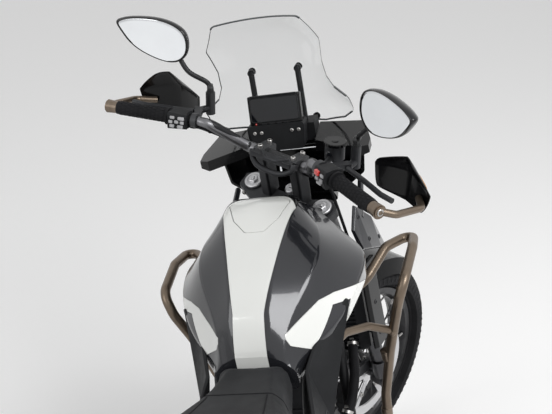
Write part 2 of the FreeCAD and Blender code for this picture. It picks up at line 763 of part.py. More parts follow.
def make_engine():
    """Crankcase, finned cylinders and head, with round covers on both sides."""
    cx, cz = crank_centre
    half = engine_half_width
    case = side_profile([(646, 330), (704, 270), (940, 264), (1000, 330), (1004, 430), (940, 505), (800, 520),
                         (690, 500), (646, 440)], -half, half, 26)
    case = case.cut(box((600, chain_y - 16, 300), (742, 200, 520)))
    up, out = head_directions()

    def stack(low, high, half_x, half_y, radius=10):
        corners = [V(head_base) + up * low + out * a + V(0, b, 0) for a, b in
                   ((-half_x, -half_y), (half_x, -half_y), (half_x, half_y), (-half_x, half_y))]
        return Part.Face(rounded_wire(corners, radius)).extrude(up * (high - low))
    pieces = [case, stack(0, 100, 76, 88), stack(96, 200, head_half_x, 94), stack(198, 242, 80, 84, 16)]
    for i in range(4):
        pieces.append(stack(16 + i * 20, 22 + i * 20, 82, 94))
    block = fused(pieces)
    # columns: side, X, Z, radius, how far it stands out
    covers = []
    for side, x, z, radius, out_by in ((-1, cx - 30, cz - 2, 92, 34), (-1, cx + 96, cz + 18, 46, 24),
                                       (1, cx + 84, cz - 8, 84, 32)):
        disc = cylinder((x, side * (half - 4), z), (x, side * (half + out_by), z), radius)
        rim = disc.Edges
        outer = [e for e in rim if abs(abs(e.CenterOfMass.y) - (half + out_by)) < 0.5 and e.Length > radius * 5]
        covers.append(disc.makeFillet(8, outer))
    block = fused([block] + covers)
    guard = side_profile([(644, 372), (660, 350), (700, 350), (738, 372), (738, 440), (700, 452), (660, 452),
                          (644, 436)], chain_y + 11, chain_y + 17, 12)
    legs = [cylinder((x, chain_y - 16, z), (x, chain_y + 12, z), 6) for x, z in ((732, 380), (732, 434))]
    shaft = cylinder((front_sprocket_x, chain_y - 17, front_sprocket_z),
                     (front_sprocket_x, chain_y - 4, front_sprocket_z), 12)
    add("engine", [fused([block, guard, shaft] + legs)])


def make_radiator():
    tank_half = radiator_half
    core_x, core_low, core_high = radiator_x, 560.0, 820.0
    core = box((core_x, -tank_half + 27, core_low), (core_x + 26, tank_half - 27, core_high))
    grooves = []
    fins = 22
    step = (core_high - core_low) / fins
    for i in range(fins):
        z = core_low + (i + 0.5) * step
        for x in (core_x - 1, core_x + 21):
            grooves.append(box((x, -tank_half + 30, z - step * 0.25), (x + 6, tank_half - 30, z + step * 0.25)))
    core = core.cut(Part.makeCompound(grooves))
    ends = [rear_profile([(side * (tank_half - 28), core_low - 6), (side * tank_half, core_low + 10),
                          (side * tank_half, core_high - 10), (side * (tank_half - 28), core_high + 6)],
                         core_x, core_x + 30, 4) for side in (1, -1)]
    add("radiator", fused([core] + ends))


def make_exhaust():
    up, out = head_directions()
    port = V(head_base) + up * port_up + out * (head_half_x + fit_gap)
    low_z = 240.0
    run = []
    for y in (-46, 20):
        start = port + V(0, y, 0)
        bends = [start, start + out * 44, V(1058, y, 440), V(1034, y, 330), V(978, y, low_z)]
        run.append(bends)
    start = V(silencer_start)
    end = V(silencer_end)
    way = end - start
    total = way.Length
    way.normalize()
    long = run[0] + [V(720, -46, low_z), V(610, -60, 236), V(556, -112, 280), start - way * 46, start]
    short = run[1] + [V(900, 16, low_z), V(820, -40, low_z)]
    pipes = [tube(long, exhaust_r, 60), tube(short, exhaust_r - 1.5, 60)]
    flanges = [cylinder(bends[0], bends[0] + out * 8, exhaust_r + 7) for bends in run]
    add("exhaust_header", fused(pipes + flanges))
    side_dir = V(0, 1, 0)
    side_dir = side_dir - way * side_dir.dot(way)
    side_dir.normalize()
    lift = side_dir.cross(way)

    def section(along, half_w, half_h):
        mid = start + way * along
        return rounded_wire([mid + side_dir * a + lift * b for a, b in
                             ((-half_w, -half_h), (half_w, -half_h), (half_w, half_h), (-half_w, half_h))],
                            min(half_w, half_h) * 0.8)
    # columns: distance along, half width, half height
    can = loft([section(a, w, h) for a, w, h in ((fit_gap, 22, 22), (70, 38, 52), (total - 60, 38, 52),
                                                 (total, 30, 38))], True)
    tip = cylinder(end - way * 4, end + way * 22, 20)
    bore = cylinder(end - way * 2, end + way * 30, 16)
    hanger = box((200, -178, 600), (224, -100, 606))
    post = cylinder((212, -172, 560), (212, -172, 606), 7)
    lug = cylinder((212, -104, 603), (212, -104, 740), 7)
    add("silencer", fused([can, tip, hanger, post, lug]).cut(bore))


def cross_member(extra):
    """The box that ties the two arms, or the room it needs."""
    width = 2 * arm_inner_y + 8
    return bead_box(((470, 0, pivot_z - 6), (400, 0, pivot_z - 20)), (width, width), (48 + extra, 46 + extra))


def make_swingarm():
    axle_z = rear_tyre_r
    mid_y = (arm_inner_y + arm_outer_y) / 2
    width = arm_outer_y - arm_inner_y
    pieces = []
    for side in (1, -1):
        pieces.append(bead_box(((pivot_x - 38, side * mid_y, pivot_z - 2), (20, side * mid_y, axle_z)),
                               (width, width), (66, 46)))
        pieces.append(side_profile([(30, axle_z - 25), (-58, axle_z - 25), (-64, axle_z), (-58, axle_z + 25),
                                    (30, axle_z + 25)], side * mid_y - width / 2, side * mid_y + width / 2, 8))
    pieces.append(cross_member(0.0))
    pieces.append(cylinder((pivot_x, -100, pivot_z), (pivot_x, 100, pivot_z), 20))
    for side in (1, -1):
        pieces.append(bead_box(((pivot_x + 14, side * 93.5, pivot_z), (pivot_x - 70, side * 93.5, pivot_z - 2)),
                               (19, 19), (38, 38)))
    arm = fused(pieces)
    arm = arm.cut(cylinder((pivot_x, -160, pivot_z), (pivot_x, 160, pivot_z), axle_r))
    arm = arm.cut(cylinder((0, -160, axle_z), (0, 160, axle_z), axle_r))
    reach = arm_outer_y + 4
    axle = cylinder((0, -reach, axle_z), (0, reach, axle_z), axle_r)
    ends = [cylinder((0, side * (arm_outer_y + fit_gap), axle_z), (0, side * (arm_outer_y + 11), axle_z), 15)
            for side in (1, -1)]
    spacer = cylinder((0, -arm_inner_y + fit_gap, axle_z), (0, -rear_hub_half - 20, axle_z), axle_r + 4)
    add("rear_axle", fused([axle, spacer] + ends))
    pivot = fused([cylinder((pivot_x, -128, pivot_z), (pivot_x, 128, pivot_z), axle_r),
                   cylinder((pivot_x, -132, pivot_z), (pivot_x, -121, pivot_z), 16),
                   cylinder((pivot_x, 121, pivot_z), (pivot_x, 132, pivot_z), 16)])
    add("swingarm", [arm, pivot])


def make_shock():
    low = V(459, 0, 441)
    high = V(560, 0, 660)
    run = high - low
    run.normalize()
    body = [cylinder(low, high, 11), cylinder(high - run * 70, high, 26), cylinder(low, low + run * 16, 26)]
    coils = 7
    for i in range(coils):
        at = low + run * (24 + i * 20)
        ring = Part.makeTorus(27, 6, at, run)
        body.append(ring)
    body.append(cylinder(low + run * 10, high - run * 60, 21.5))
    foot = box((440, -16, 400), (466, 16, 452)).cut(cross_member(2 * fit_gap))
    body.append(max(foot.Solids, key=lambda solid: solid.CenterOfMass.z))
    add("shock_absorber", fused(body))


def chain_path():
    """Tangent points and arcs of the chain round both sprockets, in the side view."""
    r_rear = chain_pitch / (2 * math.sin(math.pi / rear_teeth))
    r_front = chain_pitch / (2 * math.sin(math.pi / front_teeth))
    rear = V(0, 0, rear_tyre_r)
    front = V(front_sprocket_x, 0, front_sprocket_z)
    line = front - rear
    angle = math.atan2(line.z, line.x)
    spread = math.acos((r_rear - r_front) / line.Length)
    return rear, front, r_rear, r_front, angle, spread, line.Length


def make_chain():
    rear, front, r_rear, r_front, angle, spread, length = chain_path()
    points = []

    def arc(centre, radius, start, end, steps):
        for i in range(steps + 1):
            a = start + (end - start) * i / steps
            points.append((centre.x + radius * math.cos(a), centre.z + radius * math.sin(a), a))
    arc(rear, r_rear, angle + spread, angle - spread + 2 * math.pi, 40)
    arc(front, r_front, angle - spread, angle + spread, 14)
    # link centres along the closed path, each pin a wide lobe and each link's middle a waist
    run = [(V(x, 0, z)) for x, z, a in points]
    run.append(run[0])
    total = sum((b - a).Length for a, b in zip(run, run[1:]))
    links = int(round(total / chain_pitch))
    pitch = total / links

    def at(distance):
        distance %= total
        for a, b in zip(run, run[1:]):
            step = (b - a).Length
            if distance <= step:
                way = (b - a) * (1.0 / step) if step else V(1, 0, 0)
                return a + way * distance, way
            distance -= step
        return run[-1], way
    outer, inner = [], []
    for i in range(links):
        for share, half in ((0.0, chain_plate_high / 2), (0.5, chain_plate_high / 2 - 3.2)):
            p, way = at((i + share) * pitch)
            side = V(-way.z, 0, way.x)
            outer.append(p - side * half)
            inner.append(p + side * half)
    y0 = chain_y - chain_width / 2

    def face(points):
        return Part.Face(sharp_wire([(p.x, y0, p.z) for p in points]))
    band = face(outer).cut(face(inner)).extrude(V(0, chain_width, 0))
    if band.Volume < 0:
        band.reverse()
    add_sprockets(band, 3.0)


def toothed(centre, teeth, y_low, y_high, bore, inside=0.0):
    """A sprocket with pointed teeth, seen from the side."""
    pitch_r = chain_pitch / (2 * math.sin(math.pi / teeth))
    points = []
    for i in range(teeth):
        for share, radius in ((0.0, pitch_r - 9.4), (0.36, pitch_r - 8.8), (0.5, pitch_r - 7.8), (0.64, pitch_r - 8.8)):
            a = 2 * math.pi * (i + share) / teeth
            points.append((radius * math.cos(a), radius * math.sin(a)))
    wheel = side_profile(points, y_low, y_high)
    wheel = wheel.cut(cylinder((0, y_low - 1, 0), (0, y_high + 1, 0), bore))
    wheel.translate(V(centre.x, 0, centre.z))
    return wheel


def add_sprockets(band, slot_y):
    rear, front, r_rear, r_front, angle, spread, length = chain_path()
    big = toothed(rear, rear_teeth, chain_y - slot_y, chain_y + slot_y, axle_r + 6)
    holes = []
    for i in range(6):
        a = math.radians(60 * i)
        holes.append(cylinder((rear.x + 70 * math.cos(a), chain_y - 9, rear.z + 70 * math.sin(a)),
                              (rear.x + 70 * math.cos(a), chain_y + 9, rear.z + 70 * math.sin(a)), 17))
    big = big.cut(Part.makeCompound(holes))
    carrier = cylinder((0, rear_hub_half + fit_gap, rear.z), (0, chain_y - slot_y, rear.z), 44)
    carrier = carrier.cut(cylinder((0, 0, rear.z), (0, 120, rear.z), axle_r + 6))
    add("rear_sprocket", fused([big, carrier]))
    small = toothed(front, front_teeth, chain_y - slot_y, chain_y + slot_y, 4)
    web = cylinder((front.x, chain_y - slot_y, front.z), (front.x, chain_y + slot_y, front.z),
                   r_front - chain_plate_high / 2 - 2 * fit_gap)
    small = fused([small, web])
    add("chain", [band, small])


def make_pegs_and_pedals():
    pegs = []
    for side in (1, -1):
        near, far = sorted((side * 128.3, side * 136.3))
        hanger = side_profile([(596, 330), (646, 302), (662, 330), (642, 424), (613, 432)], near, far, 8)
        inner = side * 120.3
        bosses = [cylinder((x, inner, z), (x, side * 130, z), 9) for x, z in ((622, 414), (606, 352))]
        peg = box((600, 140, 318), (648, 226, 334))
        peg = peg.makeFillet(6, [e for e in peg.Edges if abs(e.BoundBox.ZLength - 16) < 0.1])
        teeth = [box((600, 152 + i * 12, 333), (648, 156 + i * 12, 338)) for i in range(6)]
        peg = fused([peg] + teeth)
        if side < 0:
            peg = mirrored(peg)
        neck = cylinder((624, side * 130, 326), (624, side * 142, 326), 11)
        pegs.append(fused([hanger, peg, neck] + bosses))
    shift = fused([tube([(646, 142, 312), (720, 150, 306), (780, 156, 318), (822, 158, 346)], 6, 30),
                   cylinder((822, 148, 346), (822, 196, 346), 9)])
    brake = fused([tube([(646, -142, 312), (720, -156, 296), (800, -168, 318)], 6.5, 30),
                   box((792, -198, 314), (830, -160, 326))])
    add("footpegs", [fused([pegs[0], shift]), fused([pegs[1], brake])])


def make_skid_plate():
    outer = [(1118, 470), (1126, 400), (1086, 268), (1010, 206), (700, 198), (660, 212), (663, 218), (702, 204),
             (1007, 212), (1080, 272), (1119, 401), (1111, 470)]
    half = 92.0
    pieces = [side_profile(outer, -half, half)]
    for x in (930, 720):
        for side in (1, -1):
            pieces.append(cylinder((x, side * 84, 206), (x, side * 92, 240 - frame_tube_r), 8))
    room = fused([cylinder((600, side * 100, 240), (1000, side * 100, 240), frame_tube_r - 2 + fit_gap)
                  for side in (1, -1)])
    plate_body = fused(pieces).cut(room)
    add("skid_plate", max(plate_body.Solids, key=lambda solid: solid.Volume))


# Body panels, seats and tail

def tank_shell():
    """The whole tank form, before its shut lines are cut."""
    # columns: X, then Y and Z of the crown edge, the shoulder, the widest line, the tuck and the foot
    rows = ((body_front_x, (64, 1033), (112, 1000), (190, 905), (192, 835), (126, 780)),
            (apex_x, (83, 1061), (125, 1000), (228, 888), (218, 826), (126, 776)),
            (874, (70, 1012), (144, 962), (209, 854), (192, 796), (118, 756)),
            (780, (49, 948), (106, 902), (155, 813), (148, 766), (110, 740)),
            (729, (45, 898), (85, 858), (112, 796), (114, 760), (101, 736)),
            (tank_rear_x, (40, 817), (72, 802), (97, 776), (101, 748), (95, 730)))
    wires = []
    for row in rows:
        wires.append(full_section(row[0], row[1:], 22))
    return loft(wires)


def behind_nose(extra):
    """All that lies behind the light cover's round nose, with some room to spare."""
    middle_x = strip_nose_x - strip_nose_r
    disc = cylinder((middle_x, 0, 700), (middle_x, 0, 1120), strip_nose_r + extra)
    return disc.fuse(box((600, -120, 700), (middle_x, 120, 1120)))


def make_tank():
    body = tank_shell()
    tunnel = fused(backbone(1, 4.0) + backbone(-1, 4.0))
    head_room = cylinder(on_steer(880), on_steer(1100), head_tube_r + 5)
    body = body.cut(tunnel).cut(head_room)
    middle = plan_profile(list(cover_seam) + [(x, -y) for x, y in reversed(cover_seam)], 700, 1120)
    wide = [(x, y + cover_gap) for x, y in cover_seam]
    slot = plan_profile(wide + [(x, -y) for x, y in reversed(wide)], 700, 1120)
    strip = body.common(middle)
    cover = strip.common(behind_nose(0.0))
    collar = strip.cut(behind_nose(cover_gap))
    add("tank_collar", collar)
    lid_outline = [(1018, 40), (988, 76), (934, 55), (901, 23), (901, -23), (934, -55), (988, -76), (1018, -40)]
    middle_x = 960.0
    lid_cut = plan_profile(lid_outline, 900, 1120, 12)
    lid_gap = plan_profile([(middle_x + (x - middle_x) * 1.03, y * 1.03) for x, y in lid_outline], 900, 1120, 12)
    lid = cover.common(lid_cut)
    add("tank_cover", cover.cut(lid_gap.common(thick_skin(body, V(0, 0, -8), lid_gap))))
    add("fuel_lid", lid.common(thick_skin(body, V(0, 0, -7), lid_gap)))
    rest = body.cut(slot)
    for name, side in (("left", 1), ("right", -1)):
        flank = [s for s in rest.Solids if s.CenterOfMass.y * side > 0]
        flank = max(flank, key=lambda solid: solid.Volume)
        low, high = sorted((side * 80, side * 260))
        region = side_profile(accent_outline, low, high)
        room = Part.Face(sharp_wire([(x, low, z) for x, z in accent_outline]).makeOffset2D(cover_gap, 2))
        room = room.extrude(V(0, high - low, 0))
        depth = V(0, -side * accent_thick, 0)
        skin = thick_skin(flank, depth, region)
        accent = flank.common(skin)
        add("side_accent_" + name, max(accent.Solids, key=lambda solid: solid.Volume))
        flank = flank.cut(thick_skin(flank, depth - V(0, side * cover_gap, 0), room))
        add("tank_side_" + name, max(flank.Solids, key=lambda solid: solid.Volume))


def thick_skin(body, shift, region):
    """The part of a region that stays outside a body pushed back by a shift."""
    pushed = body.copy()
    pushed.translate(shift)
    return region.cut(pushed)


def make_side_fairing():
    for name, side in (("left", 1), ("right", -1)):
        # rows: X, then Y and Z of the outline's corners
        rows = ((1180, (160, 884), (170, 878), (186, 826), (176, 818)),
                (1223, (164, 932), (175, 926), (198, 806), (186, 800)),
                (1288, (184, 874), (195, 866), (208, 776), (196, 770)),
                (1342, (198, 764), (207, 758), (212, 744), (204, 740)))
        wires = [rounded_wire([(x, side * y, z) for y, z in half], 4) for x, *half in rows]
        arm = cylinder((1238, side * 178, 888), (cowl_back_x + 6, side * 170, 950), 8)
        arm = arm.cut(box((cowl_back_x - fit_gap, -260, 850), (cowl_back_x + 60, 260, 1050)))
        panel = fused([loft(wires, True), arm]).cut(crash_tubes(side, fit_gap))
        add("side_fairing_" + name, max(panel.Solids, key=lambda solid: solid.Volume))
        rings = [rounded_wire([(x + lean_in, side * y, z) for x, y in
                               ((1106, 178), (1117, 194), (1178, 208), (1180, 196))], 4)
                 for z, lean_in in ((566, 6), (700, 0), (806, 4))]
        pins = [cylinder((1143, side * (radiator_half + fit_gap), z), (1143, side * 198, z), 8) for z in (610, 776)]
        shroud = fused([loft(rings)] + pins).cut(crash_tubes(side, fit_gap))
        add("radiator_shroud_" + name, max(shroud.Solids, key=lambda solid: solid.Volume))
        rows = ((858, (196, 862), (203, 858), (203, 842), (196, 840)),
                (800, (140, 836), (152, 832), (186, 768), (176, 766)),
                (700, (112, 770), (122, 766), (156, 630), (144, 626)),
                (600, (136, 700), (146, 690), (152, 600), (142, 596)))
        wires = [rounded_wire([(x, side * y, z) for y, z in half], 3) for x, *half in rows]
        boss = cylinder((660, side * 127.3, 642), (660, side * 146, 642), 8)
        panel = fused([loft(wires, True), boss])
        room = tank_shell()
        room.translate(V(0, side * fit_gap, 0))
        panel = panel.cut([room, tank_shell()])
        add("side_panel_" + name, max(panel.Solids, key=lambda solid: solid.Volume))


def make_cowl():
    """A hollow nose round the headlamp, with a beak below and wings beside the bars."""
    # columns: X, then Y and Z of four corners from the top down
    rows = ((cowl_back_x, (126, 1092), (200, 1070), (185, 968), (116, 918)),
            (1420, (109, 1088), (168, 1054), (153, 948), (101, 898)),
            (1496, (74, 1038), (111, 1014), (101, 918), (74, 883)))
    wall = cowl_wall

    def shrunk(half):
        return [(y - wall, z - wall if i < 2 else z + wall) for i, (y, z) in enumerate(half)]
    outer = loft([full_section(x, half, 14) for x, *half in rows], True)
    inner = loft([full_section(x - (1 if i == 0 else wall if i == 2 else 0), shrunk(half), 12)
                  for i, (x, *half) in enumerate(rows)], True)
    beak = loft([full_section(x, half, 6) for x, *half in ((1372, (84, 914), (97, 888), (63, 868)),
                                                           (1512, (63, 888), (74, 866), (42, 854)),
                                                           (1622, (19, 856), (25, 844), (11, 840)))], True)
    wings = []
    for side in (1, -1):
        # sections from the middle outward: Y, then X and Z of the corners
        wings.append(loft([sharp_wire([(x, side * y, z) for x, z in corners]) for y, *corners in
                           ((90, (1262, 1076), (1262, 1104), (1356, 1118), (1356, 1078)),
                            (200, (1246, 1052), (1246, 1080), (1392, 1096), (1392, 1052)),
                            (226, (1262, 1056), (1262, 1076), (1300, 1080), (1300, 1060)))], True))
    stay = box((cowl_back_x, -60, 940), (cowl_back_x + 8, 60, 960))
    ribs = box((cowl_back_x, -180, 944), (cowl_back_x + 8, 180, 956)).common(outer)
    cowl = fused([outer.cut(inner), beak, stay, ribs] + wings)
    lamp_hole = rear_profile([(lamp_top, lamp_high), (lamp_foot, lamp_low), (-lamp_foot, lamp_low), (-lamp_top, lamp_high)],
                             1476, 1540, 10)
    cowl = cowl.cut(lamp_hole)
    add("front_cowl", max(cowl.Solids, key=lambda solid: solid.Volume))
    top, foot, high, low = lamp_top - fit_gap, lamp_foot - fit_gap, lamp_high - fit_gap, lamp_low + fit_gap
    lamp = rear_profile([(top, high), (foot, low), (-foot, low), (-top, high)], 1466, 1493, 9.7)
    add("headlamp", lamp)


def make_screen():
    """A curved clear screen: arcs at five heights, trimmed to its outline."""
    # columns: Z, X of the middle, radius of the arc
    rows = ((1462, 1262, 214), (1435, 1278, 210), (1365, 1335, 205), (1271, 1364, 198), (1210, 1381, 232),
            (1096, 1401, 240))
    sweep = math.radians(72)

    def arc_wire(z, x, radius, extra=0.0):
        centre = V(x - radius, 0, z)
        radius += extra
        thick = screen_thick + 2 * extra

        def at(r, a):
            return centre + V(r * math.cos(a), r * math.sin(a), 0)
        inner = radius - thick
        return Part.Wire([Part.Arc(at(radius, -sweep), at(radius, 0), at(radius, sweep)).toShape(),
                          Part.LineSegment(at(radius, sweep), at(inner, sweep)).toShape(),
                          Part.Arc(at(inner, sweep), at(inner, 0), at(inner, -sweep)).toShape(),
                          Part.LineSegment(at(inner, -sweep), at(radius, -sweep)).toShape()])
    sheet = loft([arc_wire(*row) for row in rows])
    edge = [(111, 1436), (147, 1366), (137, 1300), (140, 1255), (153, 1226), (190, 1198), (191, 1150), (160, 1126),
            (100, 1112)]
    trim = rear_profile(edge + [(-y, z) for y, z in reversed(edge)], 1130, 1430, 14)
    room = loft([arc_wire(*row, fit_gap) for row in rows])
    add("windscreen", sheet.common(trim))
    arms = []
    for side in (1, -1):
        arm = tube([(1318, side * 62, 1132), (1328, side * 62, 1210), (1337, side * 62, 1282)], 7.5, 200)
        knob = cylinder((1332, side * 62, 1276), (1376, side * 62, 1276), 9).cut(room)
        knob = min(knob.Solids, key=lambda solid: solid.CenterOfMass.x)
        arms.append(fused([arm, knob]))
    foot = box((1290, fit_gap - 90, 1094), (1345, 90 - fit_gap, 1142)).cut(room)
    foot = min(foot.Solids, key=lambda solid: solid.CenterOfMass.x)
    add("screen_mount", fused([foot, make_dash()] + arms))


def make_dash():
    tilt = 15.0
    screen = box((-12, -69, 0), (12, 69, 76))
    screen = screen.makeFillet(4, screen.Edges)
    room = box((-12 - fit_gap, -69 - fit_gap, -fit_gap), (12 + fit_gap, 69 + fit_gap, 82))
    for shape in (screen, room):
        shape.rotate(V(0, 0, 0), V(0, 1, 0), tilt)
        shape.translate(V(1268, 0, 1156))
    lower = rear_profile([(-75, 1161), (75, 1161), (64, 1090), (-64, 1090)], 1250, 1292, 8).cut(room)
    add("display", screen)
    return lower


def make_seats():
    rider = [full_section(x, half, 14) for x, *half in
             ((tank_rear_x - fit_gap, (64, 802), (85, 788), (91, 734)),
              (629, (66, 796), (93, 783), (106, 730)),
              (523, (89, 806), (123, 790), (130, 742)),
              (430, (122, 822), (160, 803), (152, 760)),
              (336, (122, 846), (156, 826), (144, 786)))]
    add("rider_seat", loft(rider))
    pillion = [full_section(x, half, 14) for x, *half in
               ((336 - fit_gap, (118, 884), (140, 862), (136, 790)),
                (180, (112, 896), (136, 872), (124, 818)),
                (40, (94, 908), (118, 886), (108, 846)),
                (-20, (70, 908), (92, 890), (88, 856)))]
    add("pillion_seat", loft(pillion))


def make_tail():
    covers = []
    for side in (1, -1):
        rows = ((560, (140, 724), (148, 716), (146, 640), (138, 640)),
                (330, (142, 782), (152, 770), (148, 690), (140, 694)),
                (60, (112, 838), (122, 826), (118, 770), (110, 776)),
                (-150, (84, 880), (92, 872), (90, 836), (82, 840)))
        wires = [rounded_wire([(x, side * y, z) for y, z in half], 3) for x, *half in rows]
        bosses = [cylinder((330, side * 114.2, 756), (330, side * 144, 756), 8),
                  cylinder((60, side * 103.8, 812), (60, side * 114, 812), 8)]
        covers.append(fused([loft(wires, True)] + bosses))
    add("tail_covers", covers)
    lamp = rear_profile([(-52, 886), (52, 886), (44, 856), (-44, 856)], -186, -148.3, 6)
    leg = box((-160, -20, 842), (-148.3, 20, 860))
    add("tail_lamp", fused([lamp, leg]))
    guard = side_profile([(-122, 839.9), (-164, 839.9), (-304, 640), (-334, 560), (-326, 556), (-288, 640),
                          (-154, 822)], -50, 50, 3)
    add("rear_fender", guard)


rack_pcd = 130.0
rack_hole_r = 4.0
rack_top_z = 938.0
rack_centre_x = -70.0
rack_thick = 10.0


def make_rack():
    deck = plan_profile([(40, 96), (-150, 78), (-186, 40), (-186, -40), (-150, -78), (40, -96)],
                        rack_top_z - rack_thick, rack_top_z, 18)
    slots = [plan_profile([(20, s * 28), (-140, s * 28), (-140, s * 8), (20, s * 8)], 900, 960, 8) for s in (1, -1)]
    deck = deck.cut(Part.makeCompound(slots))
    bolts = []
    for i in range(4):
        a = math.radians(45 + 90 * i)
        spot = V(rack_centre_x + rack_pcd / 2 * math.cos(a), rack_pcd / 2 * math.sin(a), rack_top_z)
        bolts.append(spot)
        deck = deck.fuse(cylinder(spot - V(0, 0, rack_thick), spot, 13))
    for spot in bolts:
        deck = deck.cut(cylinder(spot - V(0, 0, 20), spot + V(0, 0, 5), rack_hole_r))
    rails = [tube([(300, s * 160, 792), (296, s * 170, 846), (240, s * 170, 886), (60, s * 140, 924),
                   (0, s * 84, 932)], 9, 50) for s in (1, -1)]
    rail_z = 844.6 + sub_tube_r
    posts = [cylinder((-120, s * 68, rail_z + 1.8), (-120, s * 68, rack_top_z - 4), 8) for s in (1, -1)]
    whole = fused([deck] + rails + posts)
    add("rear_rack", whole)


# Protection bars and stand

def crash_tubes(side, extra):
    """A crash bar's hoop and its short strut, or the room they need."""
    hoop = tube([(1094, side * 110, 716), (1097, side * 198, 782), (1176, side * 243, 828),
                 (1256, side * 306, 824), (1145, side * 317, 838), (1012, side * 311, 822),
                 (994, side * 290, 770), (1013, side * 266, 695), (1027, side * 240, 610),
                 (1050, side * 205, 470), (1054, side * 190, 300), (1052, side * 114.3, 300)],
                crash_tube_r + extra, 45)
    strut = tube([(1016, side * 258, 676), (975, side * 210, 716), (905, side * 168, 742), (806, side * 133, 742)],
                 crash_tube_r - 2.5 + extra, 40)
    return [hoop, strut]


def make_crash_bars():
    for name, side in (("left", 1), ("right", -1)):
        add("crash_bar_" + name, fused(crash_tubes(side, 0.0)))


def stand_lines():
    """The stand's pivot, its foot on the ground, its folding axis and how far it folds."""
    pivot = V(stand_pivot)
    low = parked.multVec(V(stand_foot_x, stand_foot_y, 0)).z
    rise = parked.multVec(V(stand_foot_x, stand_foot_y, 1)).z - low
    foot = V(stand_foot_x, stand_foot_y, -low / rise)
    down = foot - pivot
    folded = V(-1, 0.10, 0.06)
    axis = down.cross(folded)
    axis.normalize()
    return pivot, foot, axis, math.degrees(down.getAngle(folded))


def make_side_stand():
    pivot, foot, axis, travel = stand_lines()
    run = foot - pivot
    run.normalize()
    ground_up = parked.Rotation.inverted().multVec(V(0, 0, 1))
    leg = fused([cylinder(pivot - axis * 12, pivot + axis * 12, 16),
                 cylinder(pivot + run * 10, foot + ground_up * stand_foot_thick, stand_tube_r)])
    leg = leg.cut(cylinder(pivot - axis * 40, pivot + axis * 40, stand_pin_r + running_gap))
    below = cylinder(foot - ground_up * 60, foot, 90)
    pad = cylinder(foot, foot + ground_up * stand_foot_thick, stand_foot_r)
    add("side_stand", fused([leg.cut(below), pad]))


def make_stand_bracket():
    pivot, foot, axis, travel = stand_lines()
    ear = cylinder(pivot - axis * 34, pivot - axis * 12.3, 16)
    arm = cylinder(pivot - axis * 28, (pivot.x + 4, 98, 240), 7)
    pin = cylinder(pivot - axis * 26, pivot + axis * 15, stand_pin_r)
    head = cylinder(pivot + axis * 12.3, pivot + axis * 17, 11)
    return fused([ear, arm, pin, head])


def make_all():
    make_wheels()
    make_front_end()
    make_main_frame()
    make_subframe()
    make_engine()
    make_radiator()
    make_exhaust()
    make_swingarm()
    make_shock()
    make_chain()
    make_pegs_and_pedals()
    make_skid_plate()
    make_tank()
    make_side_fairing()
    make_cowl()
    make_screen()
    make_seats()
    make_tail()
    make_rack()
    make_crash_bars()
    make_side_stand()


# Placing and writing: the origin ends up below the middle of the parked bike

def row_shape(solids, steered, shift):
    shape = solids[0].copy() if len(solids) == 1 else Part.makeCompound(solids)
    place = FreeCAD.Placement(shift, FreeCAD.Rotation()) * parked
    if steered:
        place = place * steered_in
    shape.Placement = place * shape.Placement
    return shape


def middle_shift():
    low = [1e9, 1e9]
    high = [-1e9, -1e9]
    for solids, steered in parts.values():
        points = row_shape(solids, steered, V(0, 0, 0)).tessellate(0.4)[0]
        for i in (0, 1):
            low[i] = min(low[i], min(p[i] for p in points))
            high[i] = max(high[i], max(p[i] for p in points))
    return V(-(low[0] + high[0]) / 2, -(low[1] + high[1]) / 2, 0)


def show(name, point, direction, shift):
    spot = (parked.multVec(point) + shift) * 0.001
    way = parked.Rotation.multVec(direction)
    print("LINE", name, *[round(c, 6) for c in (spot.x, spot.y, spot.z, way.x, way.y, way.z)])


make_all()
os.makedirs("parts", exist_ok=True)
shift = middle_shift()
for name, (solids, steered) in parts.items():
    shape = row_shape(solids, steered, shift)
    shape.exportStep("parts/" + name + ".step")
    print(name, len(shape.Solids), round(shape.Volume / 1e3), shape.isValid(), len(shape.Faces))
show("steering", on_steer(1000), steer_up, shift)
show("front_wheel", steered_in.multVec(wheel_centre(True)), steered_in.Rotation.multVec(V(0, 1, 0)), shift)
show("rear_wheel", wheel_centre(False), V(0, 1, 0), shift)
show("side_stand", stand_lines()[0], stand_lines()[2], shift)
show("fuel_lid", V(lid_hinge), V(0, 1, 0), shift)
show("rack", V(rack_centre_x, 0, rack_top_z), V(0, 0, 1), shift)
print("STAND_TRAVEL", stand_lines()[3])
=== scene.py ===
import json
import math

import bmesh
import bpy
from mathutils import Matrix, Vector
from mathutils.bvhtree import BVHTree


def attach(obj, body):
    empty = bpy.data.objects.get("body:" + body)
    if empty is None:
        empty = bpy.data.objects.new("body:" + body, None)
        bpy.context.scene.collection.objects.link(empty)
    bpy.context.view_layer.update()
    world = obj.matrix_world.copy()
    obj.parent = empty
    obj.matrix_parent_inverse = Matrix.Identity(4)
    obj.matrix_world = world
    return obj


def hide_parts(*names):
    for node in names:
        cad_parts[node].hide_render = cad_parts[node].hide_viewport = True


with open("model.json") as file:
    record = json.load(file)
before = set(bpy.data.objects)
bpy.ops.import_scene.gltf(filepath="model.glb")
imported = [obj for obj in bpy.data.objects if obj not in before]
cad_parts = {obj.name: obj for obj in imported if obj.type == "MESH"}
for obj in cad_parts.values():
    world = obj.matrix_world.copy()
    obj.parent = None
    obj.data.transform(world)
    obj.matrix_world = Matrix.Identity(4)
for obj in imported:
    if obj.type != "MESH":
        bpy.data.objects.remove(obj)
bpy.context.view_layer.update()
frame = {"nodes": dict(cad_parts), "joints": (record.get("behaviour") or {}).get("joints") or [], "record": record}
nodes = frame["nodes"]
joints = {j["name"]: j for j in frame["joints"]}
print("stage: frame loaded,", len(nodes), "nodes")

